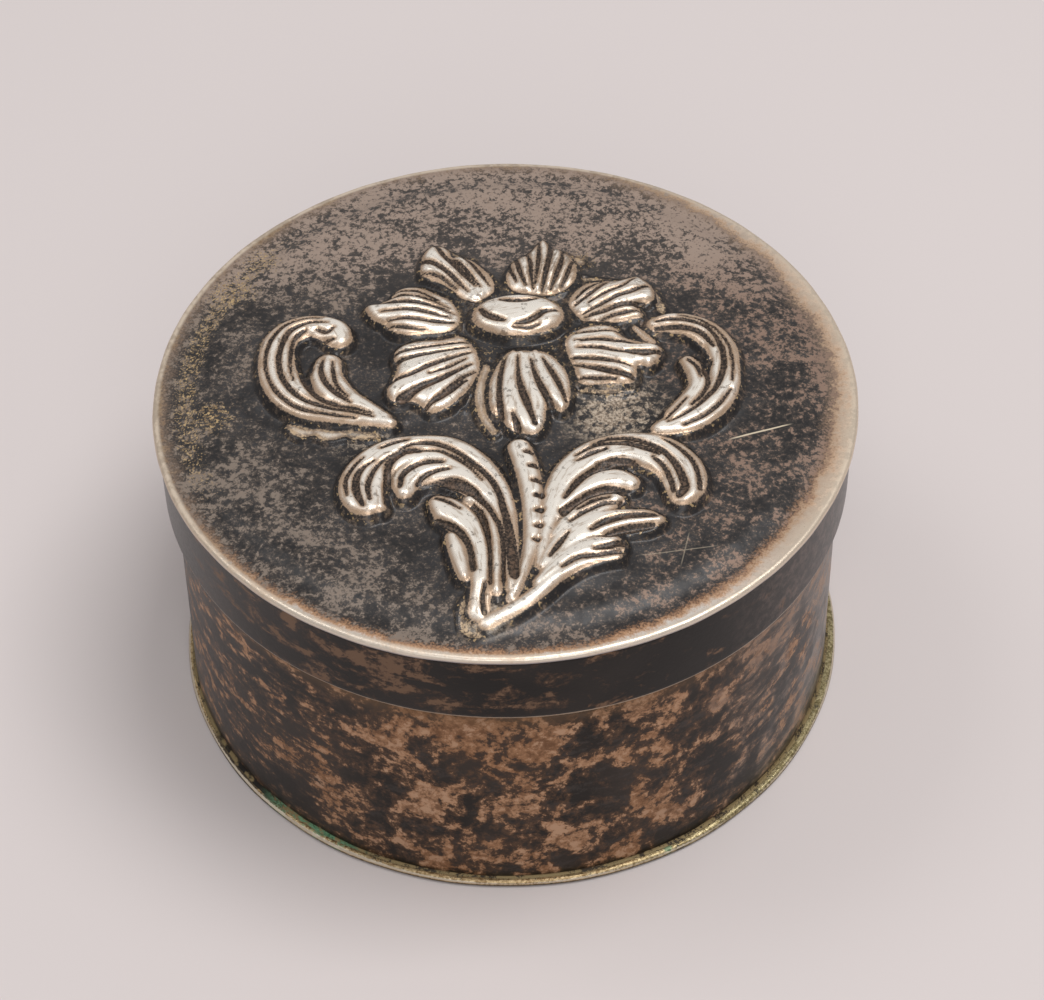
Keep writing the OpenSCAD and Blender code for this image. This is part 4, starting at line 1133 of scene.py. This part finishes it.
def foot_finish():
    """Brassy olive flange, pitted, with a bright worn edge, painted shade under it, and green and black dirt in its
    corner.
    """
    f = Finish("tarnished_foot")
    fine = f.noise(0.22, 9.0, 3, 0.65)
    patch = f.noise(1.6, 101.0, 4, 0.65, 0.5)
    to_right = f.near_turn(-15, 45, 25)
    gold = f.mix(f.step(fine, 0.35, 0.62), tone(132, 106, 72), tone(206, 182, 140))
    olive = f.mix(f.step(fine, 0.4, 0.6), tone(124, 112, 78), tone(190, 176, 136))
    colour = f.mix(to_right, gold, olive)
    dark = f.step(fine + (patch - 0.5) * 0.8, 0.6, 0.68)
    to_left = f.near_turn(-144, 9, 6)
    dark = f.more(dark, to_left * f.step(patch, 0.36, 0.5))
    colour = f.mix(dark * 0.9, colour, tone(40, 31, 22))
    turquoise = f.near_point(11.2, -21.8, 0.45)
    green = f.more(f.near_turn(-127, 8, 5) * f.step(patch + (fine - 0.5) * 0.8, 0.47, 0.54), turquoise)
    colour = f.mix(green * 0.85, colour, f.mix(f.step(fine, 0.4, 0.6), tone(66, 104, 72), tone(120, 148, 112)))
    foot_r = (((f.x - FOOT_SHIFT) ** 2.0) + f.y * f.y) ** 0.5
    edge = f.step(foot_r + (fine - 0.5) * 0.16, FOOT_R - 0.13, FOOT_R - 0.07) * f.step(f.z, 0.36, 0.42)
    colour = f.mix(edge * 0.9, colour, tone(222, 208, 186))
    # painted shade: the lower half of the flange's outer edge darkened, as if in shadow near the table
    under = 1 - f.step(f.z, 0.26, 0.36)
    colour = f.mix(under * 0.8, colour, tone(50, 40, 34))
    below = 1 - f.step(f.z, 0.02, 0.1)
    cloud = f.noise(2.4, 111.0, 7, 0.7) + (fine - 0.5) * 0.3
    colour = f.mix(below, colour, f.mix(f.step(cloud, 0.38, 0.66), tone(64, 54, 46), tone(140, 128, 112)))
    rough = 0.38 + dark * 0.25 - edge * 0.1
    metal = f.more(0.75 - dark * 0.5 - green * 0.5, 0.1)
    return f.wear(colour, rough, metal, f.bump(fine, 0.035))


def inner_finish():
    """The hidden side of the lid: grey silver with yellow-brown tarnish."""
    f = Finish("lid_inside_sheet")
    fine = f.noise(0.4, 15.0, 3, 0.6)
    patch = f.noise(5.0, 17.0, 3, 0.55)
    colour = f.mix(f.step(patch, 0.35, 0.7), tone(150, 142, 132), tone(112, 96, 80))
    return f.wear(colour, 0.35 + fine * 0.2, 0.85, f.bump(fine, 0.01))


def solder_finish():
    """Grey-gold lumpy solder, black with dirt at the left front, and green where the corner has stayed wet."""
    f = Finish("dirty_solder")
    fine = f.noise(0.2, 19.0, 4, 0.7)
    patch = f.noise(1.2, 29.0, 3, 0.6)
    dirty = f.step(fine + (patch - 0.5) * 0.8, 0.5, 0.62)
    black = f.near_turn(-143, 9, 6)
    colour = f.mix(dirty, tone(138, 120, 84), tone(52, 42, 30))
    colour = f.mix(black * f.step(patch, 0.4, 0.5), colour, tone(30, 24, 18))
    low = 1 - f.step(f.z, 2.0, 3.0)
    green = f.near_turn(-127, 8, 5) * f.step(patch + (fine - 0.5) * 0.6, 0.44, 0.52) * low
    colour = f.mix(green, colour, f.mix(f.step(fine, 0.4, 0.6), tone(48, 92, 60), tone(104, 142, 108)))
    return f.wear(colour, 0.6, 0.4 - green * 0.3, f.bump(fine, 0.04))


def floor_finish():
    f = Finish("pale_table")
    return f.wear(tone(217, 208, 206), 0.75, 0.0, None)


# The camera, as fitted to the photograph: its place and its right, up and backward directions
VIEW_PLACE = (1.09, -151.35, 174.76)
VIEW_AXES = [(0.99989, -0.01080, -0.01017), (0.01483, 0.72769, 0.68573), (0.0, -0.68580, 0.72780)]
LENS_PER_FRAME = 3000 / 1044


def set_camera():
    """A camera at the photograph's angle."""
    data = bpy.data.cameras.new("view")
    data.sensor_width = 36.0
    data.lens = LENS_PER_FRAME * data.sensor_width
    data.clip_start = 0.01
    data.clip_end = 10.0
    camera = bpy.data.objects.new("view", data)
    turn = Matrix(VIEW_AXES).transposed().to_4x4()
    camera.matrix_world = Matrix.Translation(Vector(VIEW_PLACE) * MM) @ turn
    bpy.context.scene.collection.objects.link(camera)
    bpy.context.scene.camera = camera


def set_light():
    """Plain soft studio light: a pale world and two large lamps, the stronger one from the right and front."""
    world = bpy.data.worlds.new("studio")
    world.use_nodes = True
    world.node_tree.nodes["Background"].inputs["Color"].default_value = (0.97, 0.955, 0.965, 1.0)
    world.node_tree.nodes["Background"].inputs["Strength"].default_value = 0.37
    bpy.context.scene.world = world
    lamps = {
        "key": {"place": (0.18, -0.01, 0.6), "size": 0.3, "power": 1.95},
        "front": {"place": (0.05, -0.75, 0.65), "size": 0.5, "power": 2.2},
        "left": {"place": (-0.32, 0.1, 0.6), "size": 0.25, "power": 0.5},
    }
    for name, lamp in lamps.items():
        data = bpy.data.lights.new(name, "AREA")
        data.shape = "SQUARE"
        data.size = lamp["size"]
        data.energy = lamp["power"]
        item = bpy.data.objects.new(name, data)
        item.location = lamp["place"]
        item.rotation_euler = (-Vector(lamp["place"])).to_track_quat("-Z", "Y").to_euler()
        bpy.context.scene.collection.objects.link(item)


def set_floor():
    """A plain table: one wide square."""
    reach = 1500.0
    points = [(-reach, -reach, 0), (reach, -reach, 0), (reach, reach, 0), (-reach, reach, 0)]
    floor = make_mesh("table", points, [(0, 1, 2, 3)], shade=False)
    floor.data.materials.append(floor_finish())


def build():
    set_camera()
    set_light()
    set_floor()
    relief = make_relief()
    dress(lid_face(relief), "lid", "lid_plate", lid_finish())
    inside_sheet = inner_finish()
    dress(lid_back(relief), "lid", "lid_plate", inside_sheet)
    dress(skirt_band(), "lid", "lid_skirt", skirt_finish())
    dress(wall_band(), "base", "base_wall", wall_finish())
    dress(foot_disc(), "base", "base_plate", foot_finish())
    solder = solder_finish()
    run = solder_run("foot_solder", 3, WALL_FOOT_R, FOOT_T, 0.22, 0.26, 1, 1)
    dress(run, "base", "base_solder_fillet", solder)
    inner_r = SKIRT_R - SKIRT_T
    run = solder_run("lid_solder", 4, inner_r, LID_UNDER_Z, 0.12, 0.12, -1, -1)
    dress(run, "lid", "lid_solder_fillet", solder)
    seam = seam_bead("wall_seam", 8, (WALL_FOOT_R, WALL_TOP_R), FOOT_T, WALL_TOP_Z, WALL_T)
    dress(seam, "base", "base_wall_seam", solder)
    seam = seam_bead("skirt_seam", 9, (SKIRT_R, SKIRT_R), SKIRT_EDGE_Z, LID_UNDER_Z, SKIRT_T)
    dress(seam, "lid", "lid_skirt_seam", solder)


build()
bpy.context.scene.view_settings.view_transform = "Standard"
